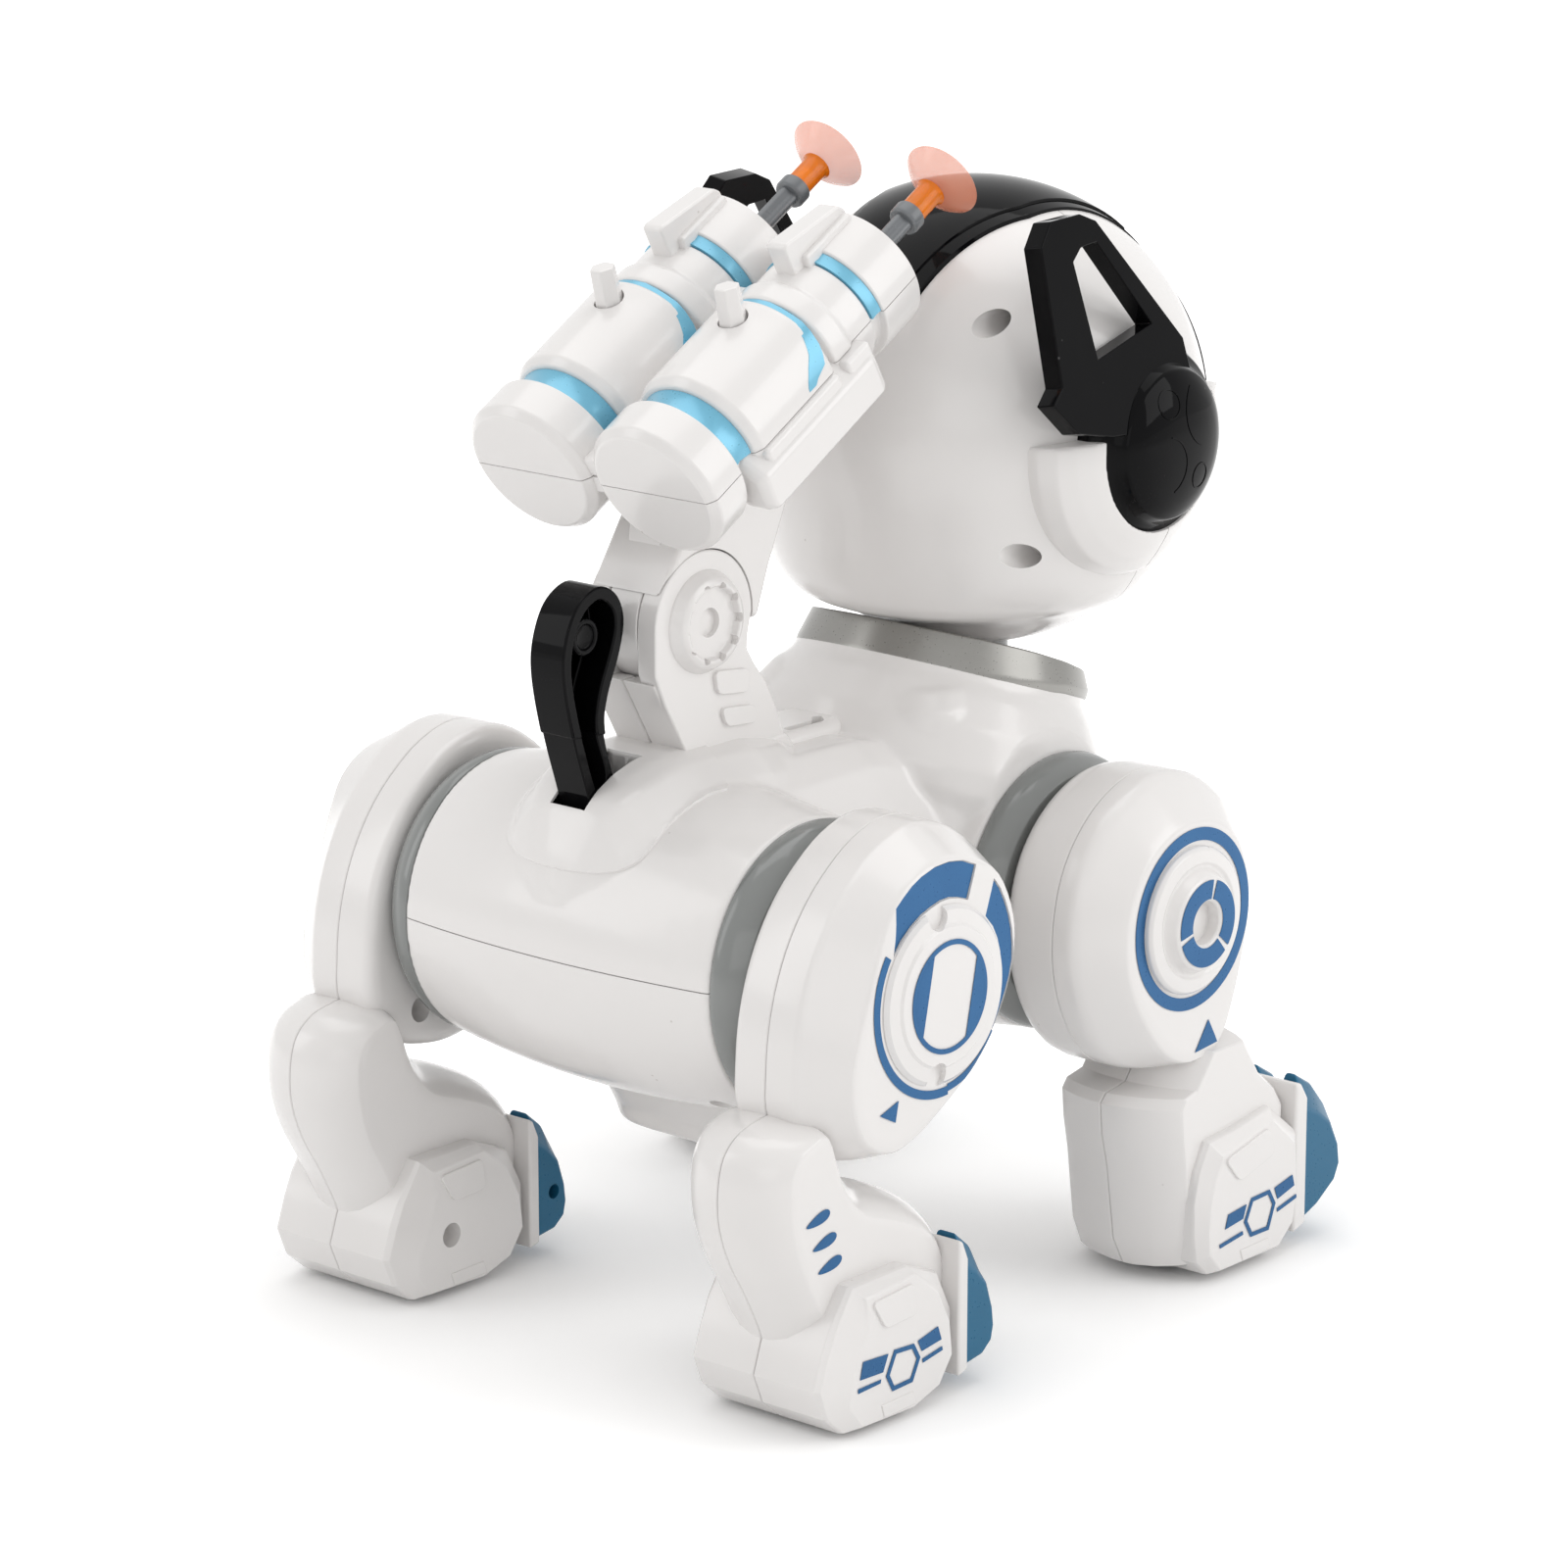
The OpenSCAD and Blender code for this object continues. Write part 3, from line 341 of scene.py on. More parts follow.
def white_sweep():
    sweep = bpy.data.materials.new("white_sweep")
    sweep.use_nodes = True
    nodes, links = sweep.node_tree.nodes, sweep.node_tree.links
    nodes.clear()
    out = nodes.new("ShaderNodeOutputMaterial")
    total = nodes.new("ShaderNodeAddShader")
    paper = nodes.new("ShaderNodeBsdfDiffuse")
    paper.inputs["Color"].default_value = (0.93, 0.93, 0.93, 1)
    glow = nodes.new("ShaderNodeEmission")
    place = nodes.new("ShaderNodeTexCoord")
    reach = nodes.new("ShaderNodeVectorMath")
    reach.operation = "LENGTH"
    rise = nodes.new("ShaderNodeMapRange")
    rise.interpolation_type = "SMOOTHSTEP"
    for label, value in zip(("From Min", "From Max", "To Min", "To Max"),
                            (NEAR_REACH, FAR_REACH, NEAR_GLOW, FAR_GLOW)):
        rise.inputs[label].default_value = value
    # The glow is scaled by ambient occlusion, so it fades out close under the feet. This paints a darker
    # contact shadow on the floor, on top of the real shadow on the diffuse paper.
    contact_shade = nodes.new("ShaderNodeAmbientOcclusion")
    contact_shade.inputs["Distance"].default_value = CONTACT_SHADE_REACH
    open_floor = nodes.new("ShaderNodeMath")
    share = nodes.new("ShaderNodeMath")
    for factor in (open_floor, share):
        factor.operation = "MULTIPLY"
    face = nodes.new("ShaderNodeNewGeometry")
    clear = nodes.new("ShaderNodeBsdfTransparent")
    sides = nodes.new("ShaderNodeMixShader")
    link_chain(links,
               place.outputs["Object"], reach.inputs[0],
               reach.outputs["Value"], rise.inputs["Value"],
               rise.outputs["Result"], open_floor.inputs[0],
               contact_shade.outputs["AO"], open_floor.inputs[1],
               open_floor.outputs[0], share.inputs[0],
               seen_rays(sweep.node_tree), share.inputs[1],
               share.outputs[0], glow.inputs["Strength"],
               paper.outputs[0], total.inputs[0],
               glow.outputs[0], total.inputs[1],
               total.outputs[0], sides.inputs[1],
               clear.outputs[0], sides.inputs[2],
               face.outputs["Backfacing"], sides.inputs["Fac"],
               sides.outputs[0], out.inputs["Surface"])
    return sweep


start()
bpy.ops.mesh.primitive_plane_add(size=8.0, location=(0, 0, 0))
floor = bpy.context.object
floor.name = "floor"
floor.data.materials.append(white_sweep())

world = bpy.data.worlds.new("studio")
bpy.context.scene.world = world
world.use_nodes = True
sky_nodes, sky_links = world.node_tree.nodes, world.node_tree.links
sky_nodes.clear()


def backdrop(colour, strength):
    shader = sky_nodes.new("ShaderNodeBackground")
    shader.inputs["Color"].default_value = colour
    shader.inputs["Strength"].default_value = strength
    return shader


def chosen(switch, first, second):
    mix = sky_nodes.new("ShaderNodeMixShader")
    link_chain(sky_links, switch, mix.inputs["Fac"], first.outputs[0], mix.inputs[1], second.outputs[0],
               mix.inputs[2])
    return mix


sky_light = backdrop((1.0, 0.99, 0.98, 1), 0.70)
sky_seen = backdrop((1.0, 1.0, 1.0, 1), 1.0)
sky_all = chosen(seen_rays(world.node_tree), sky_light, sky_seen)
sky_out = sky_nodes.new("ShaderNodeOutputWorld")
sky_links.new(sky_all.outputs[0], sky_out.inputs["Surface"])


def lamp(name, place, aim, width, height, watts):
    start()
    bpy.ops.object.light_add(type="AREA", location=Vector(place))
    light = bpy.context.object
    light.name = name
    light.data.shape = "RECTANGLE"
    light.data.size = width
    light.data.size_y = height
    light.data.energy = watts
    light.rotation_euler = (Vector(aim) - Vector(place)).to_track_quat("-Z", "Y").to_euler()
    return light


lamp("overhead_box", (0.16, 0.16, 1.3), (0, 0, 0.1), 1.0, 1.0, 4.2)
lamp("left_box", (-1.0, 0.75, 0.75), (0, 0, 0.12), 0.5, 0.9, 2.3)
lamp("right_box", (0.55, -1.15, 0.75), (0, 0, 0.14), 0.8, 0.9, 5.0)
lamp("fill_box", (-1.3, -1.0, 0.55), (0, 0, 0.12), 0.9, 0.7, 1.3)
print("stage and", len(bpy.data.lights), "lamps")

# %% [markdown]
# ## Finishes
# All shells are moulded plastic, so they share one effect: a faint cloudiness of the colour, the fine
# ripple that a mould leaves, changes of gloss and a few dust specks. It is a node group with named
# values, built once. Paint with metal flakes is the second shared effect: tiny cells that differ in
# brightness.

# %% Shared effects


def node_group(name, inputs, outputs):
    group = bpy.data.node_groups.new(name, "ShaderNodeTree")
    for label, kind, value in inputs:
        socket = group.interface.new_socket(name=label, in_out="INPUT", socket_type=kind)
        socket.default_value = value
    for label, kind in outputs:
        group.interface.new_socket(name=label, in_out="OUTPUT", socket_type=kind)
    return group, group.nodes.new("NodeGroupInput"), group.nodes.new("NodeGroupOutput")


def noise(tree, scale, detail=2.0):
    place = tree.nodes.new("ShaderNodeTexCoord")
    texture = tree.nodes.new("ShaderNodeTexNoise")
    texture.inputs["Scale"].default_value = scale
    texture.inputs["Detail"].default_value = detail
    tree.links.new(place.outputs["Object"], texture.inputs["Vector"])
    return texture


def remap(tree, value, low, high, to_low, to_high):
    node = tree.nodes.new("ShaderNodeMapRange")
    node.inputs["From Min"].default_value = low
    node.inputs["From Max"].default_value = high
    node.inputs["To Min"].default_value = to_low
    node.inputs["To Max"].default_value = to_high
    tree.links.new(value, node.inputs["Value"])
    return node.outputs["Result"]


def math_node(tree, operation, first, second):
    node = tree.nodes.new("ShaderNodeMath")
    node.operation = operation
    for socket, value in zip(node.inputs, (first, second)):
        if isinstance(value, (int, float)):
            socket.default_value = value
        else:
            tree.links.new(value, socket)
    return node.outputs[0]


def mixed_colour(tree, share, first, second):
    node = tree.nodes.new("ShaderNodeMix")
    node.data_type = "RGBA"
    tree.links.new(share, node.inputs["Factor"])
    for socket, value in ((node.inputs["A"], first), (node.inputs["B"], second)):
        if isinstance(value, tuple):
            socket.default_value = value
        else:
            tree.links.new(value, socket)
    return node.outputs["Result"]


moulded, given, put = node_group(
    "moulded_skin",
    [("Colour", "NodeSocketColor", (0.8, 0.8, 0.8, 1)), ("Shade", "NodeSocketColor", (0.7, 0.7, 0.7, 1)),
     ("Dust", "NodeSocketColor", (0.5, 0.45, 0.4, 1)), ("Gloss Low", "NodeSocketFloat", 0.2),
     ("Gloss High", "NodeSocketFloat", 0.3)],
    [("Colour", "NodeSocketColor"), ("Roughness", "NodeSocketFloat"), ("Height", "NodeSocketFloat")])
clouds = noise(moulded, 38.0, 3.0)
cloud_share = remap(moulded, clouds.outputs["Fac"], 0.35, 0.75, 0.0, 1.0)
cells = moulded.nodes.new("ShaderNodeTexVoronoi")
cells.inputs["Scale"].default_value = 130.0
cell_place = moulded.nodes.new("ShaderNodeTexCoord")
moulded.links.new(cell_place.outputs["Object"], cells.inputs["Vector"])
speck = remap(moulded, cells.outputs["Distance"], 0.02, 0.05, 1.0, 0.0)
few = remap(moulded, noise(moulded, 55.0, 0.0).outputs["Fac"], 0.62, 0.68, 0.0, 0.6)
speck_share = math_node(moulded, "MULTIPLY", speck, few)
clouded = mixed_colour(moulded, cloud_share, given.outputs["Colour"], given.outputs["Shade"])
dusted = mixed_colour(moulded, speck_share, clouded, given.outputs["Dust"])
gloss = moulded.nodes.new("ShaderNodeMapRange")
moulded.links.new(noise(moulded, 90.0, 4.0).outputs["Fac"], gloss.inputs["Value"])
gloss.inputs["From Min"].default_value = 0.3
gloss.inputs["From Max"].default_value = 0.7
moulded.links.new(given.outputs["Gloss Low"], gloss.inputs["To Min"])
moulded.links.new(given.outputs["Gloss High"], gloss.inputs["To Max"])
moulded.links.new(dusted, put.inputs["Colour"])
moulded.links.new(gloss.outputs["Result"], put.inputs["Roughness"])
moulded.links.new(noise(moulded, 420.0, 2.0).outputs["Fac"], put.inputs["Height"])

flakes, given, put = node_group(
    "flake_paint",
    [("Dark", "NodeSocketColor", (0.1, 0.2, 0.4, 1)), ("Light", "NodeSocketColor", (0.2, 0.4, 0.6, 1))],
    [("Colour", "NodeSocketColor"), ("Roughness", "NodeSocketFloat"), ("Height", "NodeSocketFloat")])
grains = flakes.nodes.new("ShaderNodeTexVoronoi")
grains.inputs["Scale"].default_value = 3600.0
grain_place = flakes.nodes.new("ShaderNodeTexCoord")
flakes.links.new(grain_place.outputs["Object"], grains.inputs["Vector"])
grain_tone = flakes.nodes.new("ShaderNodeRGBToBW")
flakes.links.new(grains.outputs["Color"], grain_tone.inputs["Color"])
drift = remap(flakes, noise(flakes, 70.0, 3.0).outputs["Fac"], 0.3, 0.7, 0.0, 0.5)
flake_share = math_node(flakes, "MULTIPLY_ADD", grain_tone.outputs["Val"], 0.5)
flakes.links.new(drift, flake_share.node.inputs[2])
flakes.links.new(mixed_colour(flakes, flake_share, given.outputs["Dark"], given.outputs["Light"]),
                 put.inputs["Colour"])
flakes.links.new(remap(flakes, grain_tone.outputs["Val"], 0.0, 1.0, 0.27, 0.31), put.inputs["Roughness"])
flakes.links.new(noise(flakes, 300.0, 2.0).outputs["Fac"], put.inputs["Height"])
print("shared effects:", [group.name for group in bpy.data.node_groups])

# %% [markdown]
# ## Materials
# Each material places a shared effect with its own colours and keeps its Principled shader itself. White
# parts are slightly warm and glossy; the decoration is blue paint with flakes; rings are plain grey
# gloss.

# %% Materials


def finish(name, group, colours, bump, **settings):
    material = bpy.data.materials.new(name)
    material.use_nodes = True
    tree = material.node_tree
    shader = tree.nodes["Principled BSDF"]
    effect = tree.nodes.new("ShaderNodeGroup")
    effect.node_tree = group
    for label, value in colours.items():
        effect.inputs[label].default_value = value
    tree.links.new(effect.outputs["Colour"], shader.inputs["Base Color"])
    tree.links.new(effect.outputs["Roughness"], shader.inputs["Roughness"])
    relief = tree.nodes.new("ShaderNodeBump")
    relief.inputs["Strength"].default_value = bump
    relief.inputs["Distance"].default_value = 0.0002
    tree.links.new(effect.outputs["Height"], relief.inputs["Height"])
    tree.links.new(relief.outputs["Normal"], shader.inputs["Normal"])
    for label, value in settings.items():
        shader.inputs[label.replace("_", " ")].default_value = value
    return material


def rgb(red, green, blue):
    return (red, green, blue, 1.0)


white = finish("white_plastic", moulded, {
    "Colour": rgb(0.80, 0.783, 0.772), "Shade": rgb(0.79, 0.772, 0.76), "Dust": rgb(0.42, 0.38, 0.34),
    "Gloss Low": 0.22, "Gloss High": 0.26}, 0.04, Coat_Weight=0.25, Coat_Roughness=0.08)
grey = finish("grey_plastic", moulded, {
    "Colour": rgb(0.23, 0.24, 0.235), "Shade": rgb(0.205, 0.215, 0.21), "Dust": rgb(0.4, 0.4, 0.4),
    "Gloss Low": 0.12, "Gloss High": 0.2}, 0.08, Coat_Weight=0.2, Coat_Roughness=0.05)
black = finish("black_plastic", moulded, {
    "Colour": rgb(0.003, 0.003, 0.0035), "Shade": rgb(0.0045, 0.0045, 0.005),
    "Dust": rgb(0.12, 0.12, 0.12), "Gloss Low": 0.05, "Gloss High": 0.08}, 0.03, Specular_IOR_Level=0.08)
rubber = finish("black_rubber", moulded, {
    "Colour": rgb(0.03, 0.03, 0.03), "Shade": rgb(0.045, 0.043, 0.04), "Dust": rgb(0.2, 0.18, 0.16),
    "Gloss Low": 0.55, "Gloss High": 0.75}, 0.5)
dart_grey = finish("dart_grey", moulded, {
    "Colour": rgb(0.16, 0.17, 0.18), "Shade": rgb(0.13, 0.14, 0.15), "Dust": rgb(0.3, 0.3, 0.3),
    "Gloss Low": 0.22, "Gloss High": 0.32}, 0.1)
silver = finish("silver_paint", flakes, {
    "Dark": rgb(0.275, 0.27, 0.255), "Light": rgb(0.305, 0.30, 0.285)}, 0.01, Metallic=0.6)
blue = finish("blue_paint", flakes, {"Dark": rgb(0.028, 0.11, 0.26), "Light": rgb(0.036, 0.135, 0.30)},
              0.02, Metallic=0.45, Coat_Weight=0.05, Specular_IOR_Level=0.15)
sky_blue = finish("sky_paint", flakes, {"Dark": rgb(0.15, 0.44, 0.61), "Light": rgb(0.17, 0.48, 0.65)},
                  0.02, Metallic=0.25, Coat_Weight=0.2)
teal = finish("teal_plastic", flakes, {"Dark": rgb(0.012, 0.12, 0.23), "Light": rgb(0.016, 0.132, 0.245)},
              0.02, Metallic=0.15, Coat_Weight=0.1, Specular_IOR_Level=0.3)
vinyl = finish("orange_vinyl", moulded, {
    "Colour": rgb(0.95, 0.27, 0.015), "Shade": rgb(0.9, 0.22, 0.01), "Dust": rgb(0.6, 0.2, 0.05),
    "Gloss Low": 0.12, "Gloss High": 0.2}, 0.05, Transmission_Weight=0.35, IOR=1.35)
cup_vinyl = finish("cup_vinyl", moulded, {
    "Colour": rgb(0.95, 0.40, 0.25), "Shade": rgb(0.93, 0.35, 0.21), "Dust": rgb(0.7, 0.3, 0.2),
    "Gloss Low": 0.12, "Gloss High": 0.2}, 0.05, Alpha=0.5)
steel = finish("steel", flakes, {"Dark": rgb(0.38, 0.38, 0.37), "Light": rgb(0.55, 0.55, 0.54)}, 0.1,
               Metallic=1.0)
board_green = finish("board_green", moulded, {
    "Colour": rgb(0.02, 0.16, 0.06), "Shade": rgb(0.015, 0.12, 0.045), "Dust": rgb(0.4, 0.38, 0.2),
    "Gloss Low": 0.25, "Gloss High": 0.4}, 0.1)
cell_wrap = finish("cell_wrap", moulded, {
    "Colour": rgb(0.05, 0.10, 0.28), "Shade": rgb(0.04, 0.08, 0.22), "Dust": rgb(0.3, 0.3, 0.3),
    "Gloss Low": 0.2, "Gloss High": 0.35}, 0.1)
nylon = finish("gear_nylon", moulded, {
    "Colour": rgb(0.62, 0.6, 0.54), "Shade": rgb(0.56, 0.54, 0.48), "Dust": rgb(0.4, 0.35, 0.3),
    "Gloss Low": 0.35, "Gloss High": 0.5}, 0.15)
print("materials:", len(bpy.data.materials))

# %% [markdown]
# Inner parts and the wheels keep their solid form, and take the finish of their material slot.

# %% Finishes of the solids
slot_finishes = {
    "white_plastic": white, "grey_plastic": grey, "silver_paint": silver, "black_plastic": black,
    "teal_plastic": teal, "sky_paint": sky_blue, "eye_lens": sky_blue, "orange_vinyl": vinyl,
    "black_rubber": rubber, "steel": steel, "motor_case": steel, "gear_nylon": nylon,
    "circuit_board": board_green, "battery_wrap": cell_wrap}
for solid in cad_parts.values():
    slots = [material.name.split(".")[0] for material in solid.data.materials if material]
    for index, slot in enumerate(slots):
        if slot in slot_finishes:
            solid.data.materials[index] = slot_finishes[slot]
print("solids by first slot:", sorted({solid.data.materials[0].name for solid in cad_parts.values()
                                      if solid.data.materials}))

# %% [markdown]
# ## Legs
# A leg is two half shells that meet at a seam 62 mm out from the middle. The thigh is a rounded plate
# with a broad bevel on its outer side. Below it come the shank, whose rounded back flows into the upper
# foot, and the heel block with a flat side. The shank and the heel block are nearly the same on either
# side of the seam, so one builder makes both, with depths counted from the seam. Each form is lofted from
# the seam outward, from a base outline to a smaller face.

# %% Leg builder
SEAM_Y = 62.0
SEAM_GAP = 0.07
SEAM_LIP = 0.22
LOOP = 76
PAD_RISE = 0.6
VENT_RISE = 0.3
FLANGE_BACK = 1.4
OUTWARD = 1
INWARD = -1


def shell_half(name, base, face, steps, way):
    sections = []
    for depth, share, margin in [(SEAM_GAP, 0, SEAM_LIP), (SEAM_GAP + SEAM_LIP, 0, 0)] + steps:
        sections.append(at_y(inset(blended(base, face, share), margin), SEAM_Y + way * depth))
    return loft(name, sections)


def side_plate(name, outline, depth0, depth1, way, bevel):
    return soften(plate(name, outline, SEAM_Y + way * depth0, SEAM_Y + way * depth1), bevel, 3)


def foot_plates(side, sink, way, pad, vent, flange, bevel):
    return [side_plate("pad", pad, side - sink, side + PAD_RISE, way, 0.55),
            side_plate("vent", vent, side - sink, side + VENT_RISE, way, 0.25),
            side_plate("flange", flange, SEAM_GAP, side - FLANGE_BACK, way, bevel)]


def wells(piece, places, radius, y0, y1):
    for x, z in places:
        combine(piece, rod("well", radius, y0, y1, (x, 0, z), ACROSS, steps=40))
    return piece


def round_corners(points, radius, steps=5):
    loop = []
    n = len(points)
    for i in range(n):
        before, here, after = [Vector(points[(i + j) % n]) for j in (-1, 0, 1)]
        first = here + (before - here).normalized() * radius
        last = here + (after - here).normalized() * radius
        for k in range(steps + 1):
            t = k / steps
            loop.append(tuple(first * (1 - t) ** 2 + here * 2 * t * (1 - t) + last * t ** 2))
    return loop


def arc(centre, radius, start_angle, end_angle, steps=24):
    turns = [math.radians(start_angle + (end_angle - start_angle) * i / steps) for i in range(steps + 1)]
    return [(centre[0] + radius * math.cos(turn), centre[1] + radius * math.sin(turn)) for turn in turns]


def arc_band(centre, inner, outer, start_angle, end_angle, steps=24):
    there = arc(centre, outer, start_angle, end_angle, steps)
    return there + arc(centre, inner, end_angle, start_angle, steps)


def frame_bands(outline, width):
    inner = inset(outline, width)
    half = len(outline) // 2
    first = outline[:half + 1] + inner[half::-1]
    second = outline[half:] + outline[:1] + inner[:1] + inner[:half - 1:-1]
    return [first, second]


# %% [markdown]
# Paint lies on the surface wherever that goes. So a painted mark is a flat outline, cut finely, that is
# projected onto the shell with a Shrinkwrap modifier and thickened by a tenth of a millimetre.

# %% Painted marks
PAINT_Y = 95.0
PAINT_CUTS = 6
PAINT_COAT = 0.1


def mark(outline, shell, rise=0.18):
    piece = corner_ring("mark", at_y(outline, PAINT_Y), True)
    bpy.ops.mesh.select_all(action="SELECT")
    bpy.ops.mesh.quads_convert_to_tris(ngon_method="CLIP")
    bpy.ops.mesh.subdivide(number_cuts=PAINT_CUTS)
    bpy.ops.object.mode_set(mode="OBJECT")
    wrap = piece.modifiers.new("lay", "SHRINKWRAP")
    wrap.target = shell
    wrap.wrap_method = "PROJECT"
    wrap.use_project_y = True
    wrap.use_positive_direction = False
    wrap.use_negative_direction = True
    wrap.offset = rise * MM
    apply_modifier(piece, wrap)
    skin = piece.modifiers.new("coat", "SOLIDIFY")
    skin.thickness = PAINT_COAT * MM
    skin.offset = 0
    apply_modifier(piece, skin)
    only(piece)
    bpy.ops.object.mode_set(mode="EDIT")
    return outward(piece)


def painted(name, outlines, shell):
    return joined(name, [mark(outline, shell) for outline in outlines])


# %% [markdown]
# ## Rear legs
# The thigh is pear-shaped: round behind, with a straight slope at its lower front.

# %% Rear leg outlines
rear_thigh = smooth_loop([(-53, 124.5), (-64, 121.8), (-73.5, 115.6), (-80.5, 108.5), (-86, 99.5),
                          (-89.6, 89), (-91, 78), (-90.3, 67.5), (-82, 58.5), (-70, 55), (-60, 55.5),
                          (-50, 58.5), (-39.5, 64), (-30, 71.5), (-24, 80.5), (-21.5, 91), (-23.5, 102),
                          (-30.5, 113), (-41.5, 121.5)], LOOP)
rear_face = smooth_loop([(-55, 118.5), (-64, 116.7), (-71, 112), (-75.2, 104), (-78.5, 94.5), (-81.8, 86),
                         (-83.8, 77.5), (-83, 69.5), (-79, 62.5), (-71, 59), (-62.5, 61), (-54.2, 65.4),
                         (-46, 70.6), (-39.2, 77.2), (-34.2, 85.2), (-31.6, 93), (-31.7, 101.5),
                         (-36.6, 111.4), (-45, 116.4)], LOOP)
rear_shank = smooth_loop([(-86, 68), (-93, 68), (-99.8, 66.4), (-104.4, 62.2), (-106.1, 55.2),
                          (-105.6, 47.5), (-102.5, 39.2), (-97.7, 31.1), (-93.6, 23.2), (-90, 16),
                          (-80, 12), (-66, 12), (-53, 13.5), (-47.6, 19), (-47, 30), (-48.2, 37.2),
                          (-53.5, 42.6), (-62, 46.9), (-74, 52), (-80.5, 60)], LOOP)
rear_shank_face = smooth_loop([(-86.5, 65), (-91.5, 64.8), (-95.6, 62.6), (-97.9, 58.5), (-98.2, 52.5),
                               (-97.2, 45.8), (-94.8, 38.8), (-91.2, 32.2), (-88, 26.5), (-83, 20.5),
                               (-76, 16.5), (-66, 15.5), (-55.5, 16.5), (-50.6, 20.5), (-49.6, 28.5),
                               (-52, 33.6), (-57.5, 38.2), (-66, 42), (-75.5, 45.8), (-82, 53.5)], LOOP)
rear_block = [(-84, 33), (-90.3, 24.5), (-92.6, 19.6), (-95, 12.7), (-92.2, 6), (-87, 1.5), (-66, 1.5),
              (-57, 4), (-51.5, 9), (-51.5, 20), (-56, 29), (-66, 33)]
rear_block_face = [(-81.8, 30.4), (-80.6, 25.4), (-83.3, 18.3), (-86.3, 12), (-87, 7.4), (-83, 2.4),
                   (-66, 2), (-57.6, 4.6), (-53.5, 10.3), (-54.5, 18), (-58.5, 25.5), (-66, 31.6)]
rear_pad = round_corners([(-80.2, 29), (-66.9, 30), (-65.8, 22.9), (-76, 22.4)], 1.4)
rear_flange = [(-49.6, 3.6), (-46.4, 4.4), (-46.4, 29.5), (-48.2, 33.6), (-49.6, 34.2)]
rear_vent = [(-77, 5.6), (-66.5, 5.8), (-65.5, 2.8), (-76, 2.6)]
SHANK_STEPS = [(3, 0.03, 0), (6.5, 0.15, 0), (9.5, 0.38, 0), (11.4, 0.6, 0), (12.6, 0.8, 0),
               (13.3, 0.94, 0), (13.6, 1, 0.2), (13.7, 1, 2)]
BLOCK_STEPS = [(16.4, 0, 0), (17.5, 0.12, 0), (18.9, 0.75, 0), (19.5, 0.95, 0), (19.7, 1, 0.3)]


def rear_foot(way):
    shank = shell_half("shank", rear_shank, rear_shank_face, SHANK_STEPS, way)
    heel = soften(shell_half("heel", rear_block, rear_block_face, BLOCK_STEPS, way), 0.5, 2, angle=25)
    side = BLOCK_STEPS[-1][0]
    return [shank, heel] + foot_plates(side, 0.7, way, rear_pad, rear_vent, rear_flange, 0.7)


# %% [markdown]
# The outer half carries a round cap with two notches, and two shallow pockets for the broad painted bands.
# The inner half is plainer, with wells for the screws.

# %% Rear leg halves
RING = (-55.6, 89.7)
NOTCHES = [(-58.6, 107.3), (-58.8, 73)]
POCKET_Y = 79.3
rear_band = [(-70.4, 111.4), (-68.1, 113.2), (-65.4, 115), (-62.5, 116.3), (-58, 117.5), (-53.4, 117.7),
             (-48.9, 117), (-44.9, 115.3), (-47.4, 108.6), (-50.5, 109.6), (-53.4, 110.2), (-56.3, 110.1),
             (-59.3, 109.4), (-62.4, 108.4), (-65.7, 106.6), (-68.9, 104.2), (-71.4, 101.4), (-70.6, 105),
             (-70.4, 108)]
front_band = [(-38.6, 110.8), (-36.6, 108.4), (-34.9, 105.3), (-33.5, 102), (-32.6, 98.7), (-32.2, 95.3),
              (-32.2, 91.9), (-33.1, 88.5), (-34.5, 85.3), (-36.2, 82), (-38.4, 78.4), (-38.9, 79.3),
              (-36.7, 84.1), (-36, 88), (-35.9, 91.4), (-36.2, 94.8), (-37.2, 98), (-38.8, 101),
              (-41.2, 103.6)]


def rear_outer():
    thigh = shell_half("thigh", rear_thigh, rear_face, [
        (6.8, 0.02, 0), (7.8, 0.07, 0), (8.8, 0.15, 0), (16.4, 0.88, 0),
        (17.3, 0.96, 0), (17.8, 1, 0.4), (17.9, 1, 3)], OUTWARD)
    for outline in (rear_band, front_band):
        combine(thigh, plate("pocket", inset(outline, -0.25), POCKET_Y, PAINT_Y))
    cap = turned("cap", [(0, 79), (18.9, 79), (19.3, 80.2), (18.4, 81.1), (15.5, 81.4), (14.9, 81.9),
                         (0, 82)], (RING[0], 0, RING[1]), ACROSS, steps=128)
    wells(cap, NOTCHES, 2.9, 79.8, 90)
    return joined("rear_outer", [thigh, soften(cap, 0.3, 2)] + rear_foot(OUTWARD))


def rear_inner():
    thigh = shell_half("thigh", rear_thigh, rear_thigh, [
        (7.2, 0, 0), (8.4, 0, 0.4), (9.2, 0, 1.2), (9.7, 0, 2.4), (9.9, 0, 4)], INWARD)
    wells(thigh, [(-75, 64.5)], 3.0, 50, 58)
    foot = rear_foot(INWARD)
    wells(foot[1], [(-76.5, 14.5)], 2.8, 40, 47)
    return joined("rear_inner", [thigh] + foot)


leg_sides = {"left": copied, "right": mirrored}


def set_leg(place, halves, paint):
    for side, make in leg_sides.items():
        body = f"{place}_{side}_leg"
        for half, model in halves.items():
            set_in(make(model, f"{place}_{side}_{half}_half"), body, white, "white_plastic",
                   f"{place}_{side}_{half}_shell")
        set_in(make(paint, f"{place}_{side}_paint"), body, blue, "sky_paint", shading="plain")
    for model in [*halves.values(), paint]:
        bpy.data.objects.remove(model)


# %% [markdown]
# The marks of the rear leg: the two bands in their pockets and a thin ring below them round the cap, a
# thin ring with two segments on the cap, a small triangle, three drops on the shank, and a six-sided
# frame between bars on the foot.

# %% Rear leg marks


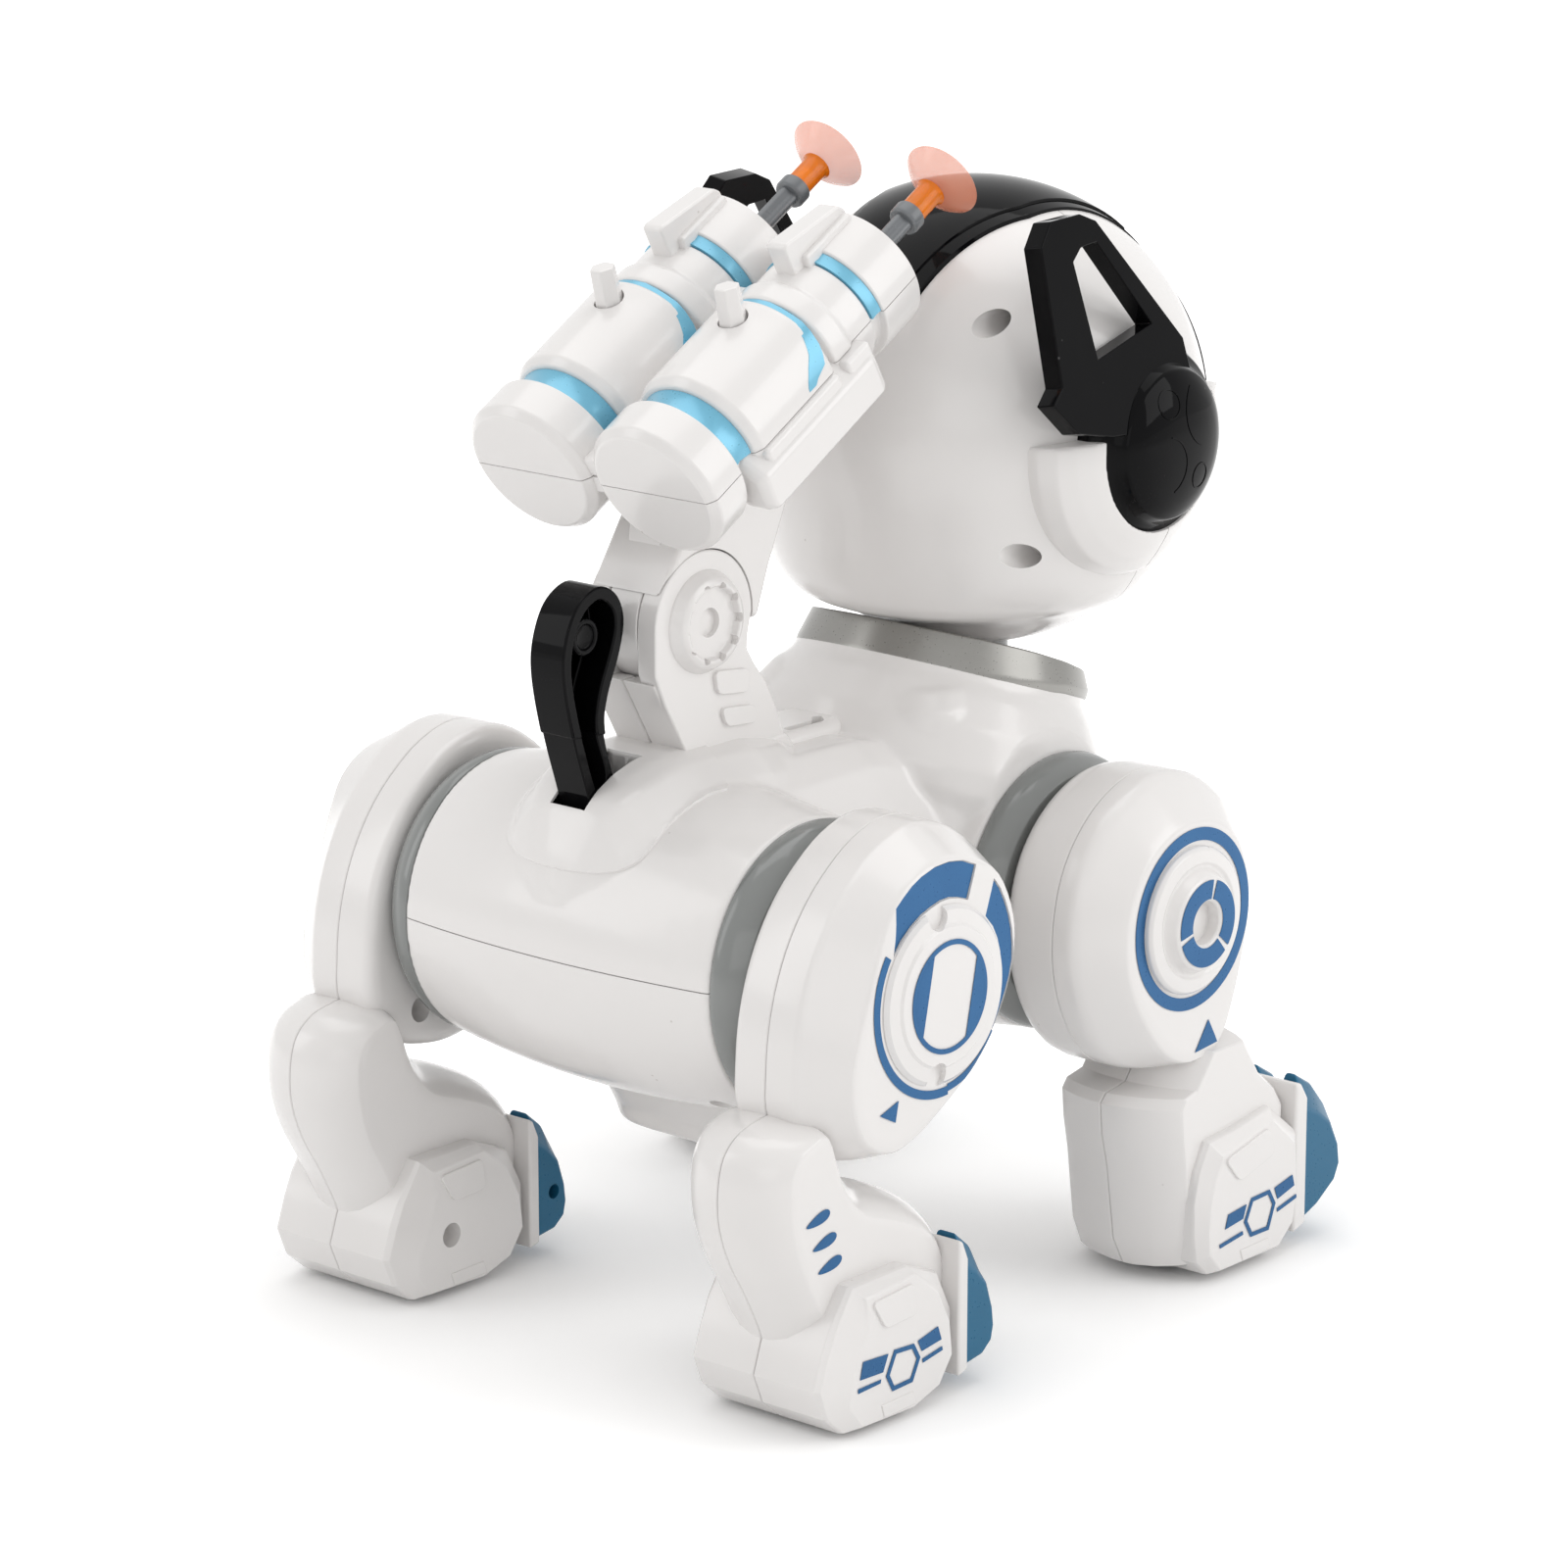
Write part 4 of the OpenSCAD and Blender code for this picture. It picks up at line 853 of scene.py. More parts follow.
def drop(x, z, length=3.7, rise=0.24):
    turns = [math.radians(360 * i / 24) for i in range(24)]
    along = [(length * math.cos(turn), (1.15 + 0.5 * math.cos(turn)) * math.sin(turn)) for turn in turns]
    return [(x + u - rise * v, z + rise * u + v) for u, v in along]


def foot_marks(shape, left_bar, right_bar, left_line, right_line):
    return frame_bands(shape, 1.0) + [left_bar, right_bar, left_line, right_line]


rear_marks = [
    rear_band, front_band, arc_band(RING, 20.3, 22.2, 146, 215), arc_band(RING, 20.3, 22.2, 215, 275),
    arc_band(RING, 19.9, 21.5, 275, 325),
    *[arc_band(RING, 11.1, 12.2, turn, turn + 120) for turn in (0, 120, 240)],
    arc(RING, 11.15, 118, 218), arc(RING, 11.15, -62, 38),
    [(-75.8, 68.2), (-69.8, 70.1), (-70.8, 65.6)],
    drop(-90.4, 48.6), drop(-88.3, 43.1), drop(-86.6, 37.7)]
rear_marks += foot_marks(
    [(-72.9, 16.8), (-66.5, 16.4), (-64.4, 12.8), (-66.9, 8), (-73.5, 7.8), (-75.6, 11.6)],
    [(-83.0, 17.0), (-74.9, 16.5), (-76.6, 12.9), (-84.0, 13.2)],
    [(-65.2, 16.6), (-58.6, 18.0), (-57.4, 14.8), (-63.9, 14.0)],
    [(-84.6, 11.4), (-77.2, 11.5), (-77.4, 10.7), (-84.6, 10.4)],
    [(-63.7, 12.2), (-57.2, 13.2), (-57.0, 12.3), (-63.5, 11.3)])
rear_halves = {"outer": rear_outer(), "inner": rear_inner()}
set_leg("rear", rear_halves, painted("rear_paint", rear_marks, rear_halves["outer"]))

# %% [markdown]
# ## Front legs
# The front thigh is a rounder disc. The boot below it is a faceted block with a flat top behind a short
# neck.

# %% Front leg outlines
front_thigh = smooth_loop([(35, 116.8), (24, 114.5), (14.5, 108.5), (7.5, 99.5), (4.2, 88), (4.6, 76),
                           (9, 64.5), (16.5, 55.5), (26.5, 50.8), (37.5, 49.8), (48.5, 53), (57.5, 61.5),
                           (63.5, 72.5), (66.3, 84), (65, 96), (59, 106.5), (48, 114)], LOOP)
front_face = smooth_loop([(35, 107), (27, 105.4), (20.3, 101), (15.4, 94), (13.3, 86), (13.8, 77.5),
                          (17.5, 68.5), (24, 59.5), (31, 53.6), (39, 51.6), (47.5, 54.5), (52.5, 64),
                          (55.7, 74.5), (57.4, 83.5), (56.3, 92), (52.2, 100), (44.5, 105.3)], LOOP)
front_boot = [(22, 43), (22.6, 36), (24.6, 28), (26, 19), (27.4, 10), (31, 3.4), (38, 1.6), (62, 1.6),
              (71, 6), (72.4, 14), (72.4, 37), (68.6, 41.5), (62, 46.5), (56.5, 55), (38, 55), (31, 46),
              (24, 45)]
front_boot_face = [(31.5, 42), (32, 36), (33.2, 28), (34, 20), (35, 12), (37.5, 5), (42, 3), (60, 3),
                   (67.4, 7), (69, 15), (69, 34.5), (66, 39), (60, 44), (54, 53), (43, 53), (37, 45.4),
                   (33, 44.4)]
front_boot_inner = blended(front_boot, front_boot_face, 0.5)
front_block = [(39, 33.4), (35.4, 27), (33.8, 20), (34, 12.6), (35, 6), (39, 2.2), (64, 1.8), (70.5, 6),
               (72.4, 14), (72.4, 28), (62, 36), (48, 34)]
front_block_face = [(42, 29.5), (39.2, 25), (37.4, 18.5), (37, 12.6), (37.4, 7.4), (41.4, 3), (63.5, 3),
                    (68.6, 7.4), (70, 14), (69, 26), (60.5, 33.4), (48.5, 30.6)]
front_pad = round_corners([(42, 28.8), (58.3, 32.6), (60.6, 26), (47.5, 22.6)], 1.8)
front_flange = [(71, 3.6), (75.6, 5), (75.6, 35), (73, 39), (71, 39)]
front_vent = [(48.5, 6), (59, 6.2), (60, 3.6), (49.5, 3.2)]
BOOT_STEPS = [(3, 0.03, 0), (8, 0.25, 0), (12.6, 0.62, 0), (15.2, 0.96, 0), (15.6, 1, 0.3), (15.7, 1, 1.5)]


def shallower(steps, share):
    return [(depth * share, blend, margin) for depth, blend, margin in steps]


def front_foot(way, share, face):
    boot = shell_half("boot", front_boot, face, shallower(BOOT_STEPS, share), way)
    soften(boot, 0.9, 3, angle=24)
    steps = shallower(BLOCK_STEPS, share)
    heel = soften(shell_half("heel", front_block, front_block_face, steps, way), 0.5, 2, angle=25)
    side = steps[-1][0]
    return [boot, heel] + foot_plates(side, 1, way, front_pad, front_vent, front_flange, 0.8)


# %% [markdown]
# The outer half has a stepped hub with a well in its middle. The inner half is plain, and its foot is
# less deep.

# %% Front leg halves
HUB = (35.2, 85.0)
FRONT_RING = (36.1, 84.9)


def front_outer():
    thigh = shell_half("thigh", front_thigh, front_face,
                       [(3.5, 0, 0), (5.2, 0.08, 0), (7, 0.22, 0), (12.4, 0.84, 0), (13.4, 0.95, 0),
                        (13.9, 1, 0.4), (14, 1, 3)], OUTWARD)
    hub = turned("hub", [(0, 75), (16.6, 75), (16.6, 77.2), (15.9, 78), (13.2, 78.4), (12.6, 77.9),
                         (11.9, 77.9), (11.4, 78.6), (10.6, 80.3), (9.9, 80.8), (5.4, 80.8), (4.8, 80.2),
                         (4.8, 77.4), (0, 77.4)], (HUB[0], 0, HUB[1]), ACROSS, steps=128)
    return joined("front_outer", [thigh, soften(hub, 0.25, 2)] + front_foot(OUTWARD, 1.0, front_boot_face))


def front_inner():
    thigh = shell_half("thigh", front_thigh, front_thigh, [
        (8, 0, 0), (11, 0, 0.6), (13, 0, 1.6), (14.6, 0, 3.2), (15.6, 0, 5.5), (15.8, 0, 7)], INWARD)
    foot = front_foot(INWARD, 0.93, front_boot_inner)
    wells(foot[1], [(50, 14)], 2.8, 40, 46.5)
    return joined("front_inner", [thigh] + foot)


# %% [markdown]
# The front leg carries a plain ring, a second ring with three breaks on the hub, the triangle and the
# foot marks.

# %% Front leg marks
front_marks = [arc_band(FRONT_RING, 17.7, 20.6, turn, turn + 120, 30) for turn in (0, 120, 240)]
front_marks += [arc_band(HUB, 5.5, 9.8, turn + 4, turn + 116, 30) for turn in (75, 195, 315)]
front_marks += [[(37.8, 53.8), (42.5, 60.4), (46, 54.5)]]
front_marks += foot_marks(
    [(52.3, 17.4), (59.2, 17.6), (61.5, 13.9), (59.1, 8.1), (52.2, 8.2), (49.7, 12.3)],
    [(43.7, 15.7), (50.5, 16.4), (49.3, 13.3), (42.6, 12.5)],
    [(61, 17.5), (67.8, 18.9), (68.6, 16.2), (62.3, 14.6)],
    [(40.6, 9.4), (49.2, 10.4), (49.4, 9.5), (40.8, 8.5)],
    [(62.1, 12.4), (69.4, 13.9), (69.6, 13.0), (62.3, 11.5)])
front_halves = {"outer": front_outer(), "inner": front_inner()}
set_leg("front", front_halves, painted("front_paint", front_marks, front_halves["outer"]))

# %% [markdown]
# ## Toes
# Each foot ends in a cap of three separate teal toes: blocks with a blunt nose, and a slanting facet from
# the top to either side. A screw well is sunk in the inner side of the innermost toe.

# %% Toes
rear_toe = [(-47, 4.8), (-41, 5.8), (-37.4, 8.2), (-36.5, 12), (-37, 16.8), (-39, 24), (-42.2, 30.6),
            (-47, 34.6)]
rear_toe_face = [(-47, 5.6), (-41, 6.4), (-38, 8.8), (-37.3, 12), (-37.8, 16), (-39.8, 22), (-43, 25.4),
                 (-47, 28)]
front_toe = [(75, 5.4), (80.5, 7.4), (88, 11.6), (89.8, 16), (89.2, 22), (86.2, 30.4), (80.8, 36.6),
             (75, 40)]
front_toe_face = [(75, 6.2), (80.5, 8.2), (87.1, 12.4), (88.9, 16), (88.2, 20.6), (85, 26.4), (80.2, 30),
                  (75, 32.4)]
TOE_FACET = 3.2


def toes(name, outline, face, y0, y1, count=3, gap=1.5):
    width = (y1 - y0 - gap * (count - 1)) / count
    pieces = []
    for i in range(count):
        low = y0 + i * (width + gap)
        high = low + width
        sections = [(low, face), (low + TOE_FACET, outline), (high - TOE_FACET, outline), (high, face)]
        pieces.append(soften(loft("toe", [at_y(points, y) for y, points in sections]), 0.7, 3, angle=20))
    return joined(name, pieces)


for place, outline, face, y0, screw in (("rear", rear_toe, rear_toe_face, 44, (-41.5, 15.2)),
                                        ("front", front_toe, front_toe_face, 50, (81, 14))):
    model = wells(toes("toes", outline, face, y0, 80), [screw], 1.7, y0 - 5, y0 + 4)
    for side, make in leg_sides.items():
        set_in(make(model, f"{place}_{side}_toes"), f"{place}_{side}_leg", teal, "teal_plastic",
               f"{place}_{side}_toe_cap")
    bpy.data.objects.remove(model)

# %% [markdown]
# ## Body
# The body is two shells that meet at a level seam. It grew from a few plain volumes: a barrel across the
# hips, a second one across the shoulders, the waist between them, the neck that leans forward with the
# withers behind it, the belly pan, and a long low mound on the back that carries the launcher post. The
# volumes are modelled one by one and fused into one skin with a Remesh modifier, and the Smooth modifier
# gives the soft fillets that the mould has where they meet.

# %% Body volumes
HIP = (-56.0, 0.0, 89.0)
SHOULDER = (35.0, 0.0, 85.0)
HEAD = (53.0, 0.0, 186.0)
BODY_SEAM_Z = 90.0
NECK_LEAN = math.radians(20.5)
NECK_BASE = (41.5, 0.0, 128.0)
NECK_AXIS = (math.sin(NECK_LEAN), 0.0, math.cos(NECK_LEAN))


def barrel_profile(half_width, end_radius, mid_radius, steps=14):
    swell = [(-1 + 2 * i / steps) for i in range(steps + 1)]
    bulge = [(mid_radius - (mid_radius - end_radius) * t ** 2, half_width * t) for t in swell]
    return [(0, -half_width)] + bulge + [(0, half_width)]


def level_loft(name, sections):
    return loft(name, [[(x, y, z) for y, z in points] for x, points in sections])


def shoulders(half_low, half_mid, half_top, z_low, z_mid, z_top):
    right = [(half_low, z_low), (half_mid, z_low + 12), (half_mid, z_mid), (half_top + 6, z_top - 5),
             (half_top, z_top)]
    return right + [(-y, z) for y, z in reversed(right)]


def rounded_section(middle, half_x, half_y, z, power=0.4, count=56):
    points = []
    for i in range(count):
        along, across = math.cos(2 * math.pi * i / count), math.sin(2 * math.pi * i / count)
        points.append((middle + half_x * math.copysign(abs(along) ** power, along),
                       half_y * math.copysign(abs(across) ** power, across), z))
    return points


def rounded_stack(name, sections, power=0.4):
    return loft(name, [rounded_section(*section, power=power) for section in sections])


def mound(half, top):
    right = [(half + 13, 100), (half + 11, top - 13), (half + 6.5, top - 6), (half + 2, top - 1.6),
             (half - 3, top)]
    return right + [(-y, z) for y, z in reversed(right)]


def body_volumes():
    barrel = turned("barrel", barrel_profile(43.8, 32.0, 35.5), HIP, ACROSS)
    chest = turned("chest", barrel_profile(38.0, 31.5, 34.0), SHOULDER, ACROSS)
    waist = level_loft("waist", [
        (-62, shoulders(20, 33, 14, 58, 98, 123)), (-40, shoulders(22, 33, 16, 57, 100, 124.3)),
        (-10, shoulders(22, 33, 17, 57, 100, 124.5)), (8, shoulders(22, 33, 19, 57, 99, 121)),
        (34, shoulders(20, 33, 20, 58, 96, 117))])
    neck = turned("neck", [(0, -38), (36, -38), (42, -27), (42.8, -22), (40.4, -12.5), (36.2, -5),
                           (33.9, -2), (32.8, 2), (0, 2)], NECK_BASE, NECK_AXIS)
    combine(neck, block("sides", -40, 110, -37.8, 37.8, 60, 170), "INTERSECT")
    belly = rounded_stack("belly", [(-14.5, 31.2, 24.8, 38), (-14.5, 32.2, 26, 39),
                                    (-14.5, 32.8, 26.8, 42), (-15, 36, 27, 48), (-15, 45, 27, 64)])
    withers = rounded_stack("withers", [(22, 26, 35, 95), (22, 22, 32, 118), (22.5, 20.8, 29.5, 128.5),
                                        (24, 18.4, 26.5, 132.6), (27, 12, 21, 135)], power=0.6)
    back = level_loft("back", [
        (-89, mound(2, 104)), (-86.5, mound(5, 112.5)), (-83, mound(7.5, 121.2)), (-79, mound(10, 124.4)),
        (-74, mound(11.5, 127)), (-68, mound(12, 128.8)), (-60, mound(12, 129.8)), (-40, mound(13, 129.8)),
        (-28, mound(11, 128)), (-18, mound(7, 124)), (-6, mound(5, 119))])
    return [barrel, chest, waist, neck, belly, withers, back]


# %% [markdown]
# A shield-like panel is raised on the barrel around the foot of the tail. It is a copy of the skin,
# swollen by the height of the step and cut to the outline of the panel.

# %% Shield on the barrel


def hip_ray(angle, y, radius):
    turn = math.radians(angle)
    return (HIP[0] + radius * math.cos(turn), y, HIP[2] + radius * math.sin(turn))


def raised_panel(piece, name, prism, rise):
    panel = copied(piece, name)
    swell = panel.modifiers.new("swell", "DISPLACE")
    swell.mid_level = 0
    swell.strength = rise * MM
    apply_modifier(panel, swell)
    return combine(panel, prism, "INTERSECT")


shield_half = [(100, 21), (118, 20.5), (133, 20), (141, 17), (146, 10)]
shield_other = [(angle, -y) for angle, y in reversed(shield_half)]
shield_top = [(88, -20), (80, 0), (88, 20)]
shield_outline = smooth_loop(shield_half + [(147.5, 0)] + shield_other + shield_top, 90)
shield_prism = loft("prism", [[hip_ray(angle, y, radius) for angle, y in shield_outline]
                              for radius in (24, 48)])
body = softer_skin(joined("body", body_volumes()), 0.75, 9)
shield = raised_panel(body, "shield", shield_prism, 0.65)
print("body skin:", len(body.data.polygons), "faces")

# %% [markdown]
# The tail comes out of a slot in the mound. Below, the belly has a recess for the battery door and a slot
# for the power switch, and four wells lead to the screws that hold the shells together. Inside, the body
# is hollow where the gears run.

# %% Slot, recess and wells
GEAR_ROOM = (-72, 50, -27, 27, 66, 104)
DOOR_RECESS = (-44.1, 16.1, -18.1, 18.1, 30, 43)
SWITCH_SLOT = (-6.2, 6.2, 20.1, 23.9, 30, 44)
tail_slot = [(-79.4, 106), (-83, 121), (-89.6, 141), (-64, 141), (-66.5, 106)]
for piece in (body, shield):
    combine(piece, plate("slot", tail_slot, -4.9, 4.9))
soften(shield, 0.4, 3, angle=50)
for room in (GEAR_ROOM, DOOR_RECESS, SWITCH_SLOT):
    combine(body, block("room", *room))
for x in (-72, 50):
    for y in (-34, 34):
        combine(body, rod("well", 3, 40, 70, (x, y, 0), UPWARD, steps=48))
soften(body, 0.5, 2, angle=50)

# %% [markdown]
# The skin is cut along the seam, and the two shells keep a hair of air between them.

# %% Upper and lower shell


def cut_half(piece, name, point, normal):
    half = copied(piece, name)
    only(half)
    bpy.ops.object.mode_set(mode="EDIT")
    bpy.ops.mesh.select_all(action="SELECT")
    bpy.ops.mesh.bisect(plane_co=Vector(point) * MM, plane_no=normal, use_fill=True, clear_outer=True)
    bpy.ops.object.mode_set(mode="OBJECT")
    return half


HAIR = 0.12
upper = cut_half(body, "body_upper", (0, 0, BODY_SEAM_Z + HAIR), DOWNWARD)
lower = cut_half(body, "body_lower", (0, 0, BODY_SEAM_Z - HAIR), UPWARD)
bpy.data.objects.remove(body)
set_in(joined("body_upper", [upper, shield]), "torso", white, "white_plastic", "body_upper_shell",
       shading="plain")
set_in(lower, "torso", white, "white_plastic", "body_lower_shell", shading="plain")

# %% [markdown]
# ## Rings, collar and neck plate
# Grey rings sit between the body and each thigh. The collar is a painted band round the neck with a domed
# plate in it.

# %% Rings and collar


def ring_profile(radius, y):
    return [(radius, y), (radius + 0.3, y + 1.5), (radius, y + 3), (radius - 0.8, y + 4.8),
            (radius - 3.2, y + 7.5), (radius - 9, y + 7.5), (radius - 9, y)]


for place, base, radius, start_y in (("rear", HIP, 31.7, 43.8), ("front", SHOULDER, 31.2, 38.0)):
    ring = soften(turned(f"{place}_ring", ring_profile(radius, start_y), base, ACROSS, closed=True,
                         steps=128), 0.3, 2)
    other = mirrored(ring, "other")
    set_in(joined(f"{place}_rings", [ring, other]), "torso", grey, "grey_plastic", f"hip_rings_{place}")

# %% [markdown]
# The collar is no plain ring: seen from the side its edges run in a wave, highest beside the nape and
# falling to the front. It is turned first, and its corners are then lifted along the neck by an amount
# that depends on the angle.

# %% Collar and neck plate
COLLAR_H = 8.4
TOP_WAVE = [(0, -1.4), (20, -1.4), (40, -1.2), (55, -0.9), (75, -0.8), (92, -0.9), (110, -1.2),
            (140, -1.6), (180, -1.6)]
LOW_WAVE = [(0, -1.0), (25, -1.6), (41, -1.4), (55, -0.8), (68, 0.2), (82, 1.0), (98, 1.8), (120, 2.2),
            (180, 1.6)]


def along_wave(wave, angle):
    for (a0, h0), (a1, h1) in zip(wave, wave[1:]):
        if a0 <= angle <= a1:
            share = 0.5 - 0.5 * math.cos(math.pi * (angle - a0) / (a1 - a0))
            return h0 + (h1 - h0) * share
    return wave[-1][1]


def waved(piece):
    axis = Vector(NECK_AXIS)
    ahead = Vector((math.cos(NECK_LEAN), 0, -math.sin(NECK_LEAN)))
    for corner in piece.data.vertices:
        place = corner.co / MM - Vector(NECK_BASE)
        height = place.dot(axis)
        angle = math.degrees(math.atan2(abs(place.y), -place.dot(ahead)))
        share = min(max(height / COLLAR_H, 0), 1)
        lift = along_wave(LOW_WAVE, angle) * (1 - share) + along_wave(TOP_WAVE, angle) * share
        corner.co += axis * lift * MM
    return piece


collar = turned("collar", [(29.5, -1.5), (33.4, -1.5), (33.5, 0), (33.5, 1.4), (31.6, COLLAR_H),
                           (29.6, COLLAR_H), (29.6, 1.2)], NECK_BASE, NECK_AXIS, closed=True, steps=128)
set_in(waved(soften(collar, 0.45, 3)), "torso", silver, "silver_paint", "neck_collar")
dome = turned("neck_plate", [(29.2, -3), (29.2, 1.5), (28.2, 4.2), (25.5, 5.6), (20, 6), (10.5, 5.7),
                             (9.2, 5.2), (9.2, -3)], NECK_BASE, NECK_AXIS, closed=True, steps=128)
stem = rod("stem", 9.2, 100, 150, (HEAD[0], 0, 0), UPWARD)
set_in(soften(combine(dome, stem), 0.5, 2), "torso", white, "white_plastic", "neck_dome")

# %% [markdown]
# ## Head
# The head is a ball of two shells, with an upright seam that shows below the ears and deep wells for the
# screws at the back. It is a sphere with a fuller nape, cut by planes and cylinders. A low pad rises on
# its cheeks around the ears.

# %% Head shells


def placed(piece, matrix):
    only(piece)
    piece.matrix_world = matrix
    bpy.ops.object.transform_apply(location=True, rotation=True, scale=True)
    return piece


HEAD_R = 52.2
HEAD_SEAM_X = 55.0
EAR_AXIS = (52, 0, 186)

def ball(name, radius):
    start()
    bpy.ops.mesh.primitive_uv_sphere_add(segments=160, ring_count=80, radius=radius * MM)
    piece = bpy.context.object
    piece.name = piece.data.name = name
    bpy.ops.object.mode_set(mode="EDIT")
    bpy.ops.mesh.select_all(action="SELECT")
    bpy.ops.transform.translate(value=Vector(HEAD) * MM)
    bpy.ops.object.mode_set(mode="OBJECT")
    return piece


def side_round(name, profile, steps=96):
    return turned(name, profile, EAR_AXIS, ACROSS, steps=steps)


def fuller_nape(piece, amount=5.4, level=-0.66, spread_up=0.22, spread_down=0.11):
    for corner in piece.data.vertices:
        way = (corner.co - Vector(HEAD) * MM).normalized()
        spread = spread_up if way.z > level else spread_down
        swell = amount * math.exp(-((way.z - level) / spread) ** 2) * (1 - way.x) / 2
        corner.co += way * swell * MM
    return piece


def cheek_pad():
    pad = side_round("cheek", [(0, 30), (31.5, 30), (31.5, 43.5), (29.5, 47.4), (26, 50.2), (22.5, 52.4),
                               (19.8, 53.8), (19.4, 46), (0, 46)])
    low = plate("low", [(10, 120), (100, 120), (100, 190), (74, 196), (40, 190), (10, 187)], 20, 60)
    return softer_skin(combine(pad, low, "INTERSECT"), 0.5, 6)


head = fuller_nape(ball("head", HEAD_R))
for y, z in ((30, 214), (-30, 214), (37.5, 163.2), (-37.5, 163.2)):
    combine(head, rod("well", 2.9, 10, 70, (HEAD_SEAM_X, y, z), BACKWARD, steps=48))
soften(head, 0.7, 3, angle=35)
rear_head = cut_half(head, "rear_head", (HEAD_SEAM_X - HAIR, 0, 0), ALONG)
front_head = cut_half(head, "front_head", (HEAD_SEAM_X + HAIR, 0, 0), BACKWARD)
bpy.data.objects.remove(head)
pad = cheek_pad()
cheeks = joined("cheeks", [pad, mirrored(pad, "other")])
rear_cheeks = cut_half(cheeks, "rear_cheeks", (HEAD_SEAM_X - HAIR, 0, 0), ALONG)
front_cheeks = cut_half(cheeks, "front_cheeks", (HEAD_SEAM_X + HAIR, 0, 0), BACKWARD)
bpy.data.objects.remove(cheeks)
set_in(joined("rear_head_shell", [rear_head, rear_cheeks]), "head", white, "white_plastic",
       "head_rear_shell")
set_in(joined("front_head_shell", [front_head, front_cheeks]), "head", white, "white_plastic",
       "head_front_shell")

# %% [markdown]
# A black crest lies over the crown. It has a lower rim and a raised middle, both cut from larger balls.
# The dark visor on the face and its two round lenses are cut from larger balls too.

# %% Crest, visor and eyes
CREST_SHIFT = -0.6


def crest_layer(name, outline, rise, bevel):
    layer = ball(name, HEAD_R + rise)
    placed(layer, Matrix.Translation(Vector((CREST_SHIFT, 0, 0)) * MM))
    prism = loft("prism", [[(HEAD[0] + x, y, z) for x, y in outline] for z in (203, 260)])
    return soften(combine(layer, prism, "INTERSECT"), bevel, 3, angle=35)


def both_edges(half):
    return half + [(x, -y) for x, y in reversed(half)]


rim = crest_layer("crest_rim", both_edges([(-41.5, 13.8), (-8, 21.3), (31, 22.2)]), 0.7, 0.5)
middle = crest_layer("crest", both_edges([(-39.5, 11.4), (-8, 18.6), (29, 19.4)]), 1.2, 0.6)
set_in(joined("crest", [rim, middle]), "head", black, "black_plastic", "head_crest")

visor = ball("visor", HEAD_R + 1)
combine(visor, rod("disc", 36, 20, 60, (HEAD[0], 0, 187), ALONG), "INTERSECT")
set_in(soften(visor, 0.5, 3, angle=35), "head", black, "black_plastic", "face_visor")
eyes = []
for y in (-15, 15):
    eye = ball("eye", HEAD_R + 1.7)
    combine(eye, rod("disc", 8, 20, 60, (HEAD[0], y, 192), ALONG), "INTERSECT")
    eyes.append(soften(eye, 0.5, 3, angle=35))
set_in(joined("eyes", eyes), "head", sky_blue, "eye_lens", "eye_lenses")

# %% [markdown]
# ## Ears
# An ear is one black moulding: a round hub with a stepped dome, and a three-cornered loop that points up
# and back. The loop is a plate with a hole, leaned inward about its foot.

# %% Ears
EAR_Y = 52.5
EAR_HALF = 2.5
EAR_TRIM = 0.8
EAR_LEAN = 9.5
ear_outline = [(17.4, 239.6), (28.2, 240), (33.8, 237.8), (59.7, 208.5), (62, 196), (56, 189), (40, 189),
               (30.4, 189.6), (18.7, 192), (10.5, 200), (14.4, 203.7), (12.8, 234)]
ear_hole = [(27.1, 232), (32.7, 232.5), (48.6, 212.7), (28.5, 207.6), (24, 229.3)]
dome_profile = [(0, 44.5), (22, 44.5), (22, 50), (20.5, 52.5), (18.5, 53.5), (17.6, 54.6), (16.6, 56.8),
                (14.4, 58.2), (12, 59.1), (9, 59.8), (6, 60.2), (3, 60.4), (0, 60.4)]
dome_marks = [arc_band(centre, radius - 0.4, radius, turn, turn + 120) for turn in (0, 120, 240)
              for centre, radius in (((47, 196), 3.4), ((57.8, 178.6), 3.0))]
dome_marks += [arc_band((60, 193), 7.6, 8.0, 130, 250), arc_band((45.5, 182), 6.6, 7.0, -60, 80)]


def ear():
    dome = soften(side_round("dome", dome_profile, steps=128), 0.5, 2)
    loop = plate("loop", inset(ear_outline, EAR_TRIM), EAR_Y - EAR_HALF, EAR_Y + EAR_HALF)
    combine(loop, plate("hole", ear_hole, EAR_Y - 9, EAR_Y + 9))
    foot = Vector((0, EAR_Y, 200)) * MM
    lean = Matrix.Rotation(math.radians(EAR_LEAN), 4, "X")
    placed(loop, Matrix.Translation(foot) @ lean @ Matrix.Translation(-foot))
    combine(loop, rod("clear", 17.2, 30, 70, EAR_AXIS, ACROSS))
    fine_lines = [mark(outline, dome, 0.1) for outline in dome_marks]
    return joined("ear", [dome, soften(loop, 0.9, 3)] + fine_lines)


model = ear()
set_in(mirrored(model, "right_ear"), "head", black, "black_plastic", "ear_right")
model.name = model.data.name = "left_ear"
set_in(model, "head", black, "black_plastic", "ear_left")

# %% [markdown]
# ## Launcher
# Two barrels lie side by side and point up over the head. Each is a turned profile with grooves for
# painted bands. They are moulded as an upper and a lower half, so the profile is spun whole and cut along
# the middle. Everything is modelled level, with the barrels along x, and then tilted into place.

